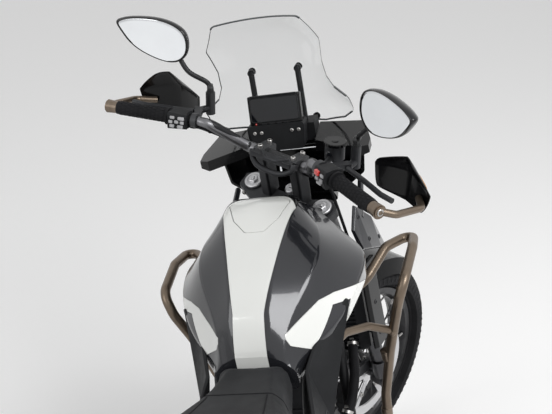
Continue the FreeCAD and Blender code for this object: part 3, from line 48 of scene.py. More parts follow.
# The bike's own axes, upright and straight ahead: X forward, Y left, Z up, in mm, rear axle above the origin.
stance = {"rakeDeg": 26.0, "rearRadius": 333.0, "steerRightDeg": 30.3, "axisGround": 1610.0}


def bikeAxes():
    side = Vector(joints["rear_wheel_spin"]["axis"]).normalized()
    steerAxis = Vector(joints["steering"]["axis"]).normalized()
    rake = math.radians(stance["rakeDeg"])
    ahead = side.cross(steerAxis).normalized()
    forward = ahead * math.cos(rake) - steerAxis * math.sin(rake)
    up = ahead * math.sin(rake) + steerAxis * math.cos(rake)
    origin = Vector(joints["rear_wheel_spin"]["pos_m"]) - up * stance["rearRadius"] * 0.001
    return Matrix.Translation(origin) @ Matrix((forward, side, up)).transposed().to_4x4()


bikeToRow = bikeAxes()
steerSpot = Vector(joints["steering"]["pos_m"])
steerTurn = (Matrix.Translation(steerSpot)
             @ Matrix.Rotation(-math.radians(stance["steerRightDeg"]), 4, Vector(joints["steering"]["axis"]))
             @ Matrix.Translation(-steerSpot))
fixedPlace = bikeToRow @ Matrix.Scale(0.001, 4)     # bike mm to row metres
steeredPlace = steerTurn @ fixedPlace               # for what turns with the bars
steeredBodies = ("front_end", "front_wheel")


def linkObject(name, data):
    thing = bpy.data.objects.new(name, data)
    bpy.context.scene.collection.objects.link(thing)
    return thing


# Camera: where it stood, in the bike's own axes in metres, and the lens that the photograph needs

cameraSetup = {"spot": (-1.5773, -0.8312, 2.1817), "forward": (0.8801, 0.2723, -0.38894),
               "up": (0.42432, -0.08357, 0.90165), "lens": 79.79, "sensor": 36.0}


def makeCamera():
    data = bpy.data.cameras.new("photoCamera")
    data.lens = cameraSetup["lens"]
    data.sensor_width = cameraSetup["sensor"]
    data.clip_start = 0.05
    data.clip_end = 60.0
    data.dof.use_dof = False
    camera = linkObject("photoCamera", data)
    turn = bikeToRow.to_3x3()
    forward = (turn @ Vector(cameraSetup["forward"])).normalized()
    up = (turn @ Vector(cameraSetup["up"])).normalized()
    right = forward.cross(up).normalized()
    up = right.cross(forward)
    spot = Matrix.Translation(bikeToRow @ Vector(cameraSetup["spot"]))
    camera.matrix_world = spot @ Matrix((right, up, -forward)).transposed().to_4x4()
    bpy.context.scene.camera = camera


makeCamera()
print("stage: camera")


# Studio: a pale floor, a white surround for the camera and for reflections, soft lamps

studio = {"floorSize": 60.0, "floorColor": (0.78, 0.78, 0.78), "floorGlow": 0.22, "worldLight": 0.4,
          "background": 0.95,
          # name, place in metres, aim, width, height, power
          "lamps": (("key", (-1.6, -2.6, 3.6), (0.2, 0, 0.9), 2.2, 1.6, 100.0),
                    ("fill", (-2.2, 2.8, 2.6), (0.2, 0, 0.8), 2.4, 1.8, 38.0),
                    ("rim", (1.2, -3.6, 2.4), (0.5, 0, 0.8), 1.4, 1.6, 60.0))}


def setSockets(shader, values):
    for name, value in values.items():
        shader.inputs[name].default_value = value


def mathNode(tree, operation, value, other):
    # other is a number or a socket
    node = tree.nodes.new("ShaderNodeMath")
    node.operation = operation
    tree.links.new(value, node.inputs[0])
    if isinstance(other, float):
        node.inputs[1].default_value = other
    else:
        tree.links.new(other, node.inputs[1])
    return node.outputs[0]


def seenOrMirrored(tree):
    # one for what the camera sees itself, in a mirror or through glass
    rays = tree.nodes.new("ShaderNodeLightPath").outputs
    seen = mathNode(tree, "MAXIMUM", rays["Is Camera Ray"], rays["Is Glossy Ray"])
    return mathNode(tree, "MAXIMUM", seen, rays["Is Transmission Ray"])


def spreadTo(tree, value, low, high):
    spread = tree.nodes.new("ShaderNodeMapRange")
    setSockets(spread, {"To Min": low, "To Max": high})
    tree.links.new(value, spread.inputs["Value"])
    return spread.outputs["Result"]


def makeStudio():
    size = studio["floorSize"]
    mesh = bpy.data.meshes.new("floor")
    corners = [(-size, -size, 0), (size, -size, 0), (size, size, 0), (-size, size, 0)]
    mesh.from_pydata(corners, [], [(0, 1, 2, 3)])
    floor = linkObject("floor", mesh)
    paint = bpy.data.materials.new("paleFloor")
    paint.use_nodes = True
    tree = paint.node_tree
    shader = tree.nodes["Principled BSDF"]
    setSockets(shader, {"Base Color": (*studio["floorColor"], 1), "Roughness": 0.6,
                        "Emission Color": (1, 1, 1, 1)})
    glow = mathNode(tree, "MULTIPLY", seenOrMirrored(tree), studio["floorGlow"])
    tree.links.new(glow, shader.inputs["Emission Strength"])
    floor.data.materials.append(paint)

    world = bpy.data.worlds.new("studioWorld")
    bpy.context.scene.world = world
    world.use_nodes = True
    tree = world.node_tree
    back = tree.nodes["Background"]
    level = spreadTo(tree, seenOrMirrored(tree), studio["worldLight"], studio["background"])
    tree.links.new(level, back.inputs["Strength"])
    back.inputs["Color"].default_value = (1, 1, 1, 1)

    for name, spot, aim, width, height, power in studio["lamps"]:
        data = bpy.data.lights.new(name + "Lamp", "AREA")
        data.shape = "RECTANGLE"
        data.size = width
        data.size_y = height
        data.energy = power
        lamp = linkObject(name + "Lamp", data)
        lamp.location = spot
        lamp.visible_glossy = name != "rim"         # the rim lamp would glare on the flat black tops
        lamp.rotation_mode = "QUATERNION"
        lamp.rotation_quaternion = (Vector(aim) - Vector(spot)).to_track_quat("-Z", "Y")
    bpy.context.scene.view_settings.view_transform = "Standard"


makeStudio()
print("stage: studio")


# Finishes: each is a node material with its own colour change, grain and bump

def startFinish(name):
    finish = bpy.data.materials.new(name)
    finish.use_nodes = True
    tree = finish.node_tree
    shader = tree.nodes["Principled BSDF"]
    where = tree.nodes.new("ShaderNodeTexCoord")
    return finish, tree, shader, where.outputs["Object"]


def addNoise(tree, where, scale, detail=3.0, stretch=None):
    grain = tree.nodes.new("ShaderNodeTexNoise")
    setSockets(grain, {"Scale": scale, "Detail": detail})
    if stretch:
        mapping = tree.nodes.new("ShaderNodeMapping")
        mapping.inputs["Scale"].default_value = stretch
        tree.links.new(where, mapping.inputs["Vector"])
        where = mapping.outputs["Vector"]
    tree.links.new(where, grain.inputs["Vector"])
    return grain.outputs["Fac"]


def rampBetween(tree, value, low, high, stops=(0.35, 0.65)):
    ramp = tree.nodes.new("ShaderNodeValToRGB")
    for element, stop, color in zip(ramp.color_ramp.elements, stops, (low, high)):
        element.position = stop
        element.color = (*color, 1)
    tree.links.new(value, ramp.inputs["Fac"])
    return ramp.outputs["Color"]


def roughen(tree, shader, value, low, high):
    tree.links.new(spreadTo(tree, value, low, high), shader.inputs["Roughness"])


def addBump(tree, shader, value, strength, depth):
    bump = tree.nodes.new("ShaderNodeBump")
    setSockets(bump, {"Strength": strength, "Distance": depth})
    tree.links.new(value, bump.inputs["Height"])
    tree.links.new(bump.outputs["Normal"], shader.inputs["Normal"])


def wornEdges(tree, base, worn, share):
    # bare or pale colour on the sharp outer edges
    geometry = tree.nodes.new("ShaderNodeNewGeometry")
    edge = rampBetween(tree, geometry.outputs["Pointiness"], (0, 0, 0), (1, 1, 1), (0.52, 0.6))
    mix = tree.nodes.new("ShaderNodeMix")
    mix.data_type = "RGBA"
    mix.inputs["B"].default_value = (*worn, 1)
    tree.links.new(mathNode(tree, "MULTIPLY", edge, share), mix.inputs["Factor"])
    tree.links.new(base, mix.inputs["A"])
    return mix.outputs["Result"]


def glossPaint(name, color, roughness=0.12, change=0.12, flake=0.0, coat=1.0, shine=0.5):
    finish, tree, shader, where = startFinish(name)
    low = tuple(c * (1 - change) for c in color)
    high = tuple(min(1, c * (1 + change)) for c in color)
    tint = rampBetween(tree, addNoise(tree, where, 5.0), low, high, (0.3, 0.7))
    tree.links.new(tint, shader.inputs["Base Color"])
    roughen(tree, shader, addNoise(tree, where, 38.0), roughness * 0.8, roughness * 1.3)
    setSockets(shader, {"Metallic": flake, "Specular IOR Level": shine, "Coat Weight": coat,
                        "Coat Roughness": 0.04})
    addBump(tree, shader, addNoise(tree, where, 420.0, 1.0), 0.04, 0.0004)      # orange peel
    return finish


def grainedPlastic(name, color, roughness=0.55, grain=900.0, bump=0.25, worn=0.15):
    finish, tree, shader, where = startFinish(name)
    high = tuple(min(1, c * 1.4 + 0.003) for c in color)
    base = rampBetween(tree, addNoise(tree, where, 9.0, 5.0), color, high)
    pale = tuple(min(1, c * 2.0 + 0.02) for c in color)
    tree.links.new(wornEdges(tree, base, pale, worn), shader.inputs["Base Color"])
    roughen(tree, shader, addNoise(tree, where, 60.0), roughness - 0.08, roughness + 0.12)
    shader.inputs["Specular IOR Level"].default_value = 0.14
    addBump(tree, shader, addNoise(tree, where, grain, 2.0), bump, 0.0005)
    return finish


def metalFinish(name, color, roughness=0.35, change=0.2, scratches=0.15, stretch=None, worn=0.3, metallic=1.0,
                grain=260.0):
    finish, tree, shader, where = startFinish(name)
    low = tuple(c * (1 - change) for c in color)
    base = rampBetween(tree, addNoise(tree, where, 14.0, 6.0), low, color)
    pale = tuple(min(1, c * 1.6 + 0.08) for c in color)
    tree.links.new(wornEdges(tree, base, pale, worn), shader.inputs["Base Color"])
    streaks = addNoise(tree, where, grain, 4.0, stretch)
    roughen(tree, shader, streaks, roughness * 0.75, roughness * 1.35)
    setSockets(shader, {"Metallic": metallic, "Specular IOR Level": 0.3})
    addBump(tree, shader, streaks, scratches, 0.0003)
    return finish


def clearFinish(name, color, roughness=0.0, ior=1.45, seeThrough=1.0):
    finish, tree, shader, where = startFinish(name)
    tree.links.new(rampBetween(tree, addNoise(tree, where, 3.0), tuple(c * 0.97 for c in color), color),
                   shader.inputs["Base Color"])
    setSockets(shader, {"Roughness": roughness, "IOR": ior, "Transmission Weight": seeThrough})
    return finish


def seatVinyl(name, color):
    finish, tree, shader, where = startFinish(name)
    cells = tree.nodes.new("ShaderNodeTexVoronoi")
    cells.inputs["Scale"].default_value = 620.0
    tree.links.new(where, cells.inputs["Vector"])
    base = rampBetween(tree, addNoise(tree, where, 12.0, 4.0), color, tuple(c * 1.7 for c in color))
    tree.links.new(base, shader.inputs["Base Color"])
    roughen(tree, shader, addNoise(tree, where, 30.0), 0.48, 0.68)
    addBump(tree, shader, cells.outputs["Distance"], 0.35, 0.0006)
    setSockets(shader, {"Specular IOR Level": 0.14, "Sheen Weight": 0.05})
    return finish


finishes = {
    "tyre": grainedPlastic("tyreRubber", (0.01, 0.01, 0.011), 0.72, 500.0, 0.35, 0.25),
    "rubber": grainedPlastic("gripRubber", (0.007, 0.007, 0.008), 0.66, 700.0, 0.3, 0.1),
    "rim": metalFinish("blackRim", (0.03, 0.03, 0.032), 0.34, 0.2, 0.06, None, 0.25, 0.5),
    "disc": metalFinish("groundDisc", (0.56, 0.56, 0.57), 0.28, 0.12, 0.12, (1, 40, 1), 0.2),
    "frame_paint": metalFinish("satinFrame", (0.014, 0.0145, 0.016), 0.42, 0.25, 0.05, None, 0.3, 0.3),
    "fork": metalFinish("forkTube", (0.06, 0.06, 0.064), 0.3, 0.15, 0.08, None, 0.25),
    "cast": metalFinish("darkCasting", (0.03, 0.031, 0.034), 0.48, 0.3, 0.3, None, 0.35, 0.7, 420.0),
    "steel": metalFinish("plainSteel", (0.42, 0.41, 0.4), 0.34, 0.25, 0.12, None, 0.3),
    "bronze": metalFinish("bronzeBars", (0.185, 0.145, 0.11), 0.33, 0.16, 0.05, None, 0.2, 0.8),
    "white": glossPaint("whitePanel", (0.78, 0.79, 0.765), 0.2, 0.03),
    "graphite": glossPaint("graphitePanel", (0.022, 0.023, 0.027), 0.18, 0.12, 0.3, 0.7, 0.3),
    "matte": grainedPlastic("grainedPanel", (0.01, 0.0105, 0.0115), 0.5, 950.0, 0.3, 0.12),
    "black_plastic": glossPaint("blackPanel", (0.0035, 0.0035, 0.004), 0.16, 0.2, 0.0, 0.14, 0.16),
    "clear": clearFinish("clearScreen", (0.995, 1.0, 1.0), 0.0, 1.22),
    "lamp": clearFinish("lampLens", (0.95, 0.97, 1.0), 0.02),
    "red_lamp": clearFinish("redLens", (0.6, 0.02, 0.02), 0.06, 1.5, 0.5),
    "seat": seatVinyl("seatCover", (0.011, 0.0115, 0.0125)),
    "mirrorCase": glossPaint("mirrorCase", (0.008, 0.008, 0.009), 0.22, 0.2, 0.0, 0.3, 0.25),
    "mirrorGlass": metalFinish("mirrorSilver", (0.86, 0.88, 0.9), 0.03, 0.03, 0.0, None, 0.0, 1.0),
    "screenRim": glossPaint("screenRim", (0.035, 0.04, 0.045), 0.15, 0.2),
    "displayGlass": glossPaint("displayGlass", (0.003, 0.004, 0.006), 0.05, 0.3, 0.0, 0.3, 0.3),
    "paleKey": grainedPlastic("paleKey", (0.34, 0.34, 0.35), 0.5, 900.0, 0.15, 0.2),
    "redButton": glossPaint("redButton", (0.55, 0.02, 0.015), 0.25, 0.1),
    "barAlloy": metalFinish("barAlloy", (0.2, 0.2, 0.21), 0.36, 0.2, 0.05, None, 0.2),
    "chrome": metalFinish("chromeBowl", (0.85, 0.85, 0.86), 0.06, 0.05, 0.0, None, 0.0),
    "amberLens": clearFinish("amberLens", (0.95, 0.42, 0.05), 0.08, 1.5, 0.6),
    "brightAlloy": metalFinish("brightAlloy", (0.5, 0.5, 0.51), 0.38, 0.1, 0.1, None, 0.25),
}
# the record's slot for each finish that it doesn't name
slotFor = {"mirrorCase": "black_plastic", "screenRim": "black_plastic", "displayGlass": "black_plastic",
           "mirrorGlass": "disc", "paleKey": "matte", "redButton": "red_lamp", "amberLens": "red_lamp",
           "chrome": "steel", "brightAlloy": "steel"}


def dressNodes():
    slots = {part["node"]: part["material_slot"] for part in frame["record"]["subparts"]}
    for name, node in nodes.items():
        node.data.materials.clear()
        node.data.materials.append(finishes[slots[name]])


dressNodes()
print("stage: finishes")


# Making and placing: every piece is written in bike mm, then its place turns and leans it with its body

def bikeSide(side, point):
    return Vector((point[0], side * point[1], point[2]))


def softShade(mesh, angle=38.0):
    mesh.polygons.foreach_set("use_smooth", [True] * len(mesh.polygons))
    mesh.set_sharp_from_angle(angle=math.radians(angle))


def settle(name, builder, finish, body, slot=None, bevel=0.0, angle=38.0):
    # the mesh gets its modifiers in mm, then it is placed in the row and rides on its body
    slot = slot or slotFor.get(finish, finish)
    mesh = bpy.data.meshes.new(name)
    bmesh.ops.remove_doubles(builder, verts=builder.verts, dist=0.02)
    bmesh.ops.recalc_face_normals(builder, faces=builder.faces)
    builder.to_mesh(mesh)
    builder.free()
    piece = linkObject(name, mesh)
    if bevel:
        edge = piece.modifiers.new("bevel", "BEVEL")
        edge.width = bevel
        edge.segments = 2
        edge.limit_method = "ANGLE"
        edge.angle_limit = math.radians(40)
    bakeModifiers(piece)
    piece.data.transform(steeredPlace if body in steeredBodies else fixedPlace)
    softShade(piece.data, angle)
    piece.data.materials.clear()
    piece.data.materials.append(finishes[finish])
    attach(piece, body)
    return piece


def bakeModifiers(piece):
    if not piece.modifiers:
        return
    graph = bpy.context.evaluated_depsgraph_get()
    baked = bpy.data.meshes.new_from_object(piece.evaluated_get(graph))
    piece.modifiers.clear()
    piece.data = baked


def addRing(builder, points):
    return [builder.verts.new(p) for p in points]


def bridge(builder, ringA, ringB, closed=True):
    count = len(ringA)
    for i in range(count if closed else count - 1):
        j = (i + 1) % count
        builder.faces.new((ringA[i], ringA[j], ringB[j], ringB[i]))


def skinRings(builder, rings, closedAcross=True, capped=True, closedAlong=False):
    rows = [addRing(builder, ring) for ring in rings]
    for a, b in zip(rows, rows[1:]):
        bridge(builder, a, b, closedAcross)
    if closedAlong:
        bridge(builder, rows[-1], rows[0], closedAcross)
    elif capped:
        builder.faces.new(rows[0])
        builder.faces.new(list(reversed(rows[-1])))


def ringAngles(count):
    return [2 * math.pi * k / count for k in range(count)]


def framesAlong(points):
    # a steady side and up direction at each point of a line
    spans = zip(points[:1] + points, points[1:] + points[-1:])
    tangents = [(after - before).normalized() for before, after in spans]
    side = tangents[0].orthogonal().normalized()
    frames = []
    for tangent in tangents:
        side = (side - tangent * side.dot(tangent)).normalized()
        frames.append((side, tangent.cross(side)))
    return frames


def sweepTube(builder, points, radius, sides=14):
    # radius: one number, or one for each point
    radii = radius if isinstance(radius, list) else [radius] * len(points)
    skinRings(builder, [[point + (side * math.cos(a) + up * math.sin(a)) * wide for a in ringAngles(sides)]
                        for point, wide, (side, up) in zip(points, radii, framesAlong(points))])


def throughPoints(points, steps=8):
    # a Catmull-Rom line through a few points
    points = [Vector(p) for p in points]
    padded = [points[0] * 2 - points[1]] + points + [points[-1] * 2 - points[-2]]
    line = []
    for i in range(1, len(padded) - 2):
        a, b, c, d = padded[i - 1:i + 3]
        for k in range(steps):
            t = k / steps
            line.append(0.5 * ((2 * b) + (c - a) * t + (2 * a - 5 * b + 4 * c - d) * t * t
                               + (3 * b - a - 3 * c + d) * t ** 3))
    line.append(points[-1])
    return line


def roundedLoop(points, turns=3):
    # cuts the corners of a closed outline again and again
    points = [Vector(p) for p in points]
    for turn in range(turns):
        cut = []
        for a, b in zip(points, points[1:] + points[:1]):
            cut += [a * 0.75 + b * 0.25, a * 0.25 + b * 0.75]
        points = cut
    return points


def roundedBox(halfA, halfB, radius, steps=4):
    # the outline of a rectangle with round corners
    outline = []
    for index, (a, b) in enumerate(((1, 1), (-1, 1), (-1, -1), (1, -1))):
        for k in range(steps + 1):
            angle = math.pi / 2 * (index + k / steps)
            outline.append((a * (halfA - radius) + radius * math.cos(angle),
                            b * (halfB - radius) + radius * math.sin(angle)))
    return outline


def lathe(builder, profile, base, axis, sides=32):
    # profile: radius and height along the axis
    axis = Vector(axis).normalized()
    side = axis.orthogonal().normalized()
    up = axis.cross(side)
    skinRings(builder, [[Vector(base) + axis * height + (side * math.cos(a) + up * math.sin(a)) * radius
                         for a in ringAngles(sides)] for radius, height in profile])


def screwHead(radius, foot, edge, shoulder, top, socket, floor):
    # a lathe profile: round head with an eased edge and a socket
    return [(radius, foot), (radius, edge), (shoulder, top), (socket, top), (socket, floor)]


def turned(name, finish, body, rows, angle=38.0):
    # one piece made of lathed parts: profile, base, axis, sides
    builder = bmesh.new()
    for profile, base, axis, sides in rows:
        lathe(builder, profile, base, axis, sides)
    settle(name, builder, finish, body, angle=angle)


def block(builder, centre, halfX, halfY, halfZ, turn=None):
    turn = turn or Matrix.Identity(3)
    corners = [Vector(centre) + turn @ Vector((x * halfX, y * halfY, z * halfZ))
               for x in (-1, 1) for y in (-1, 1) for z in (-1, 1)]
    verts = addRing(builder, corners)
    for face in ((0, 1, 3, 2), (4, 6, 7, 5), (0, 4, 5, 1), (2, 3, 7, 6), (0, 2, 6, 4), (1, 5, 7, 3)):
        builder.faces.new([verts[i] for i in face])


def treeInMm(mesh, place):
    spots = [place.inverted() @ v.co for v in mesh.vertices]
    return BVHTree.FromPolygons(spots, [list(p.vertices) for p in mesh.polygons])


surfaceTrees = {}
bodyOfNode = {name: body for body, names in frame["record"]["behaviour"]["bodies"].items() for name in names}


def surfaceSpot(node, start, direction):
    # where a line meets a node, and the surface's normal there, all in bike mm
    if node not in surfaceTrees:
        place = steeredPlace if bodyOfNode[node] in steeredBodies else fixedPlace
        surfaceTrees[node] = treeInMm(nodes[node].data, place)
    spot, normal = surfaceTrees[node].ray_cast(Vector(start), Vector(direction).normalized())[:2]
    if spot is None:
        print("no surface on", node, "from", tuple(start))
        return None, None
    if normal.dot(Vector(direction)) > 0:
        normal = -normal
    return spot, normal


def castLathe(builder, profile, node, start, direction, sides):
    # a turned piece that stands on a node's surface, where the line meets it
    spot, normal = surfaceSpot(node, start, direction)
    if spot is not None:
        lathe(builder, profile, spot, normal, sides)


castFrom = 400      # beside the bike, outside its widest panel


def castFromSide(builder, profile, node, side, x, z, sides):
    castLathe(builder, profile, node, (x, side * castFrom, z), (0, -side, 0), sides)


steerBase = Vector((stance["axisGround"], 0, 0))
rake = math.radians(stance["rakeDeg"])
steerUp = Vector((-math.sin(rake), 0, math.cos(rake)))
steerAhead = Vector((math.cos(rake), 0, math.sin(rake)))


def onSteer(up, ahead=0.0, y=0.0):
    return steerBase + steerUp * up + steerAhead * ahead + Vector((0, y, 0))


def barSpot(side, y):
    return Vector((1013 - 0.36 * (y - 260), side * y, 1197))


# Seats: the CAD cushion is swollen a little by cloth, its underside stays flat, then the seams are sewn on

seats = {"voxel": 0.005, "shrink": 0.004, "pressure": 4.0, "mass": 0.3, "stiffness": 15, "frames": 20,
         "cap": 0.009, "seamRadius": 1.6}


def paddedSeat(name, node):
    piece = linkObject(name, nodes[node].data.copy())
    builder = bmesh.new()
    builder.from_mesh(piece.data)
    bmesh.ops.remove_doubles(builder, verts=builder.verts, dist=0.0002)
    bmesh.ops.recalc_face_normals(builder, faces=builder.faces)
    builder.to_mesh(piece.data)
    builder.free()
    remesh = piece.modifiers.new("remesh", "REMESH")
    remesh.mode = "VOXEL"
    remesh.voxel_size = seats["voxel"]
    bakeModifiers(piece)
    upward = (bikeToRow.to_3x3() @ Vector((0, 0, 1))).normalized()
    mesh = piece.data
    normals = [v.normal.copy() for v in mesh.vertices]
    for vertex, normal in zip(mesh.vertices, normals):
        vertex.co -= normal * seats["shrink"]
    rest = [v.co.copy() for v in mesh.vertices]
    cloth = piece.modifiers.new("cloth", "CLOTH")
    cloth.settings.use_pressure = True
    cloth.settings.uniform_pressure_force = seats["pressure"]
    cloth.settings.effector_weights.gravity = 0.0
    cloth.settings.mass = seats["mass"]
    cloth.settings.tension_stiffness = seats["stiffness"]
    cloth.settings.compression_stiffness = seats["stiffness"]
    cloth.point_cache.frame_start = 1
    cloth.point_cache.frame_end = seats["frames"]
    scene = bpy.context.scene
    for step in range(1, seats["frames"] + 1):
        scene.frame_set(step)
    bakeModifiers(piece)
    scene.frame_set(1)
    mesh = piece.data
    for vertex, start, normal in zip(mesh.vertices, rest, normals):
        free = min(1.0, max(0.0, normal.dot(upward) * 1.6 + 0.9))       # the underside stays on its pan
        move = vertex.co - start
        if move.length > seats["cap"]:
            move = move.normalized() * seats["cap"]
        vertex.co = start + move * free
    smooth = piece.modifiers.new("smooth", "SMOOTH")
    smooth.factor = 0.6
    smooth.iterations = 6
    soft = piece.modifiers.new("soft", "SUBSURF")
    soft.levels = 1
    bakeModifiers(piece)
    softShade(piece.data, 180.0)
    piece.data.materials.clear()
    piece.data.materials.append(finishes["seat"])
    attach(piece, "frame")
    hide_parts(node)
    return piece


def seatSeams(name, seatPiece, lines):
    # piping that lies on the swollen cover, cast down on to it
    tree = treeInMm(seatPiece.data, fixedPlace)
    builder = bmesh.new()
    for points in lines:
        cast = [tree.ray_cast(point, Vector((0, 0, -1)))[0] for point in throughPoints(points, 10)]
        lain = [spot for spot in cast if spot is not None]
        if len(lain) > 3:
            sweepTube(builder, lain, seats["seamRadius"], 8)
    settle(name, builder, "rubber", "frame", "seat")


riderCover = paddedSeat("riderSeatCover", "rider_seat")
pillionCover = paddedSeat("pillionSeatCover", "pillion_seat")
# each seam: points above the cushion, one across it and one along each side
seatSeams("riderSeatSeams", riderCover,
          [[(556, y, 900) for y in (-104, -70, -30, 0, 30, 70, 104)]]
          + [[(x, side * (46 + (680 - x) * 0.17), 900) for x in (548, 500, 440, 400, 345)]
             for side in (1, -1)])
seatSeams("pillionSeatSeams", pillionCover,
          [[(x, side * (92 - (320 - x) * 0.09), 960) for x in (326, 240, 150, 60, -6)] for side in (1, -1)]
          + [[(180, y, 960) for y in (-76, -40, 0, 40, 76)]])
print("stage: seats")


# Tyres: a carcass a little under the CAD crown, with tread blocks up to it and short ribs on the shoulders

tyres = {"treadDepth": 5.0, "ringSteps": 120, "crownSteps": 16, "flankSteps": 5, "blockShare": 0.39,
         "lipHigh": 12, "beadInset": 7.3, "shoulderShare": 0.97,
         # name, node, body, centre, radius, half width, crown radius, bead radius, rim half width, blocks
         "sizes": (("frontTyreTread", "front_tyre", "front_wheel", (1496, 0, 300),
                    329.0, 55.0, 58.0, 241.3, 34.0, 40),
                   ("rearTyreTread", "rear_tyre", "rear_wheel", (0, 0, 333),
                    333.0, 72.0, 84.0, 228.6, 56.0, 36)),
         # middle and half width of a block as shares of the half crown, lean round the ring
         "rows": ((-0.80, 0.17, 0.35), (-0.40, 0.17, -0.3), (0.0, 0.16, 0.12), (0.40, 0.17, 0.3),
                  (0.80, 0.17, -0.35))}


def crownHeight(radius, crownRadius, y):
    return radius - (crownRadius - math.sqrt(max(0.0, crownRadius ** 2 - y ** 2)))


def wheelSpot(centre, radius, y, angle):
    return Vector((centre[0] + radius * math.cos(angle), centre[1] + y, centre[2] + radius * math.sin(angle)))


def tyreProfile(radius, half, crownRadius, bead, rimHalf, shoulderHalf, shoulder):
    # radius and offset, from one bead over the crown to the other
    lipTop = bead + tyres["lipHigh"]
    beadHalf = rimHalf - tyres["beadInset"]
    side = [(bead + 0.5, beadHalf), (lipTop, beadHalf + 0.5), (lipTop + 4, beadHalf + 6),
            (lipTop + 5, beadHalf + 8.5), (lipTop + 9, beadHalf + 9)]
    widest = (shoulder + lipTop) / 2
    for i in range(1, tyres["flankSteps"] + 1):
        r = lipTop + 9 + (shoulder - lipTop - 9) * i / tyres["flankSteps"]
        swell = math.sin(min(1.0, (r - lipTop) / (widest - lipTop)) * math.pi / 2)
        bulge = beadHalf + 9 + (half - beadHalf - 9) * swell
        side.append((r, min(bulge, half if r < shoulder - 1 else shoulderHalf)))
    crown = []
    for i in range(1, tyres["crownSteps"]):
        y = shoulderHalf * (1 - 2 * i / tyres["crownSteps"])
        sunk = tyres["treadDepth"] * min(1.0, (1 - abs(y) / shoulderHalf) * 8)
        crown.append((crownHeight(radius, crownRadius, y) - sunk, y))
    return side + crown + [(r, -y) for r, y in reversed(side)]


def makeTyre(name, node, body, centre, radius, half, crownRadius, bead, rimHalf, blocks):
    depth = tyres["treadDepth"]
    shoulderHalf = half * tyres["shoulderShare"]
    shoulder = crownHeight(radius, crownRadius, shoulderHalf)
    profile = tyreProfile(radius, half, crownRadius, bead, rimHalf, shoulderHalf, shoulder)
    builder = bmesh.new()
    rings = [[wheelSpot(centre, r, y, a) for r, y in profile] for a in ringAngles(tyres["ringSteps"])]
    skinRings(builder, rings, closedAcross=False, closedAlong=True)
    span = 2 * math.pi / blocks * tyres["blockShare"]
    for index, (middle, width, lean) in enumerate(tyres["rows"]):
        for k in range(blocks):
            start = 2 * math.pi * (k + 0.5 * (index % 2)) / blocks
            rings = []
            for lift, grow in ((-1.5, 1.06), (depth * 0.86, 1.0), (depth, 0.93)):
                ring = []
                for u, v in ((-1, -1), (-1, 1), (0, 1.15), (1, 1), (1, -1), (0, -0.85)):
                    y = max(-1.0, min(1.0, middle + u * width * grow)) * shoulderHalf
                    base = crownHeight(radius, crownRadius, y) - depth
                    ring.append(wheelSpot(centre, base + lift, y, start + span * grow * v + lean * span * u))
                rings.append(ring)
            skinRings(builder, rings)
    turn = 0.22 * math.pi / blocks
    for k in range(blocks * 2):
        angle = math.pi * (k + 0.25) / blocks
        for side in (-1, 1):
            skinRings(builder, [[wheelSpot(centre, r, side * (out + d), angle + a * turn)
                                 for a, d in ((-1, -2), (1, -2), (0.8, 1.3), (-0.8, 1.3))]
                                for r, out in ((shoulder + 1, shoulderHalf - 0.5), (shoulder - 8, half - 0.2),
                                               (shoulder - 17, half - 0.2))])
    piece = settle(name, builder, "tyre", body, angle=30.0)
    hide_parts(node)


for row in tyres["sizes"]:
    makeTyre(*row)
print("stage: tyres")


# Wheel details: spoke nipples, valve and disc bolts

wheelTrim = {"nippleRadius": 3.4, "nippleLength": 17.0, "spokes": 32, "sweepDeg": 40.0, "discBolts": 6,
             "valve": [(4.2, 0), (4.2, 22), (3.2, 24), (3.2, 40), (4.4, 41), (4.4, 52), (3.6, 54)]}


def makeWheelTrim(name, body, centre, bead, rimHalf, hubFlange, flangeY, discRows):
    builder = bmesh.new()
    radius, length = wheelTrim["nippleRadius"], wheelTrim["nippleLength"]
    nipple = [(radius, 12), (radius, 12 + length * 0.7), (2.4, 12 + length)]
    sweep = math.radians(wheelTrim["sweepDeg"])
    for i, atRim in enumerate(ringAngles(wheelTrim["spokes"])):
        side = 1 if i % 2 else -1
        end = wheelSpot(centre, bead - 5, side * (rimHalf - 8), atRim)
        start = wheelSpot(centre, hubFlange - 5, side * flangeY, atRim + (sweep if (i // 2) % 2 else -sweep))
        lathe(builder, nipple, end, start - end, 8)
    lathe(builder, wheelTrim["valve"], wheelSpot(centre, bead - 22, 0, math.pi / 2), (0, 0, -1), 12)
    for discY, boltRadius, out in discRows:
        for angle in ringAngles(wheelTrim["discBolts"]):
            spot = wheelSpot(centre, boltRadius, discY, angle)
            lathe(builder, screwHead(8, 0, 2, 6.5, 3.2, 3.4, 1.2), spot, (0, out, 0), 12)
    settle(name, builder, "steel", body, angle=35.0)


makeWheelTrim("frontWheelTrim", "front_wheel", (1496, 0, 300), 241.3, 34.0, 46.0, 37.0,
              ((66.4, 76, 1), (-66.4, 76, -1)))
makeWheelTrim("rearWheelTrim", "rear_wheel", (0, 0, 333), 228.6, 56.0, 46.0, 51.0, ((-86.4, 90, -1),))
print("stage: wheel trim")


# Hand guards: one smooth moulded shell on each side, through three rows of three points, and its screws

handGuards = {"steps": 16, "depth": 4.6, "edge": 1.6, "screws": ((0.62, 0.3), (0.82, 0.36)),
              "rows": (((1110, 307, 1233), (1125, 368, 1250), (1103, 395, 1244)),
                       ((1138, 275, 1201), (1155, 362, 1206), (1101, 452, 1186)),
                       ((1139, 281, 1139), (1152, 357, 1124), (1109, 428, 1130)))}


def foldWeights(t):
    # mostly two flat halves with a soft fold between them
    soft = (2 * (t - 0.5) * (t - 1), -4 * t * (t - 1), 2 * t * (t - 0.5))
    flat = (1 - 2 * t, 2 * t, 0) if t < 0.5 else (0, 2 - 2 * t, 2 * t - 1)
    return [a * 0.35 + b * 0.65 for a, b in zip(soft, flat)]


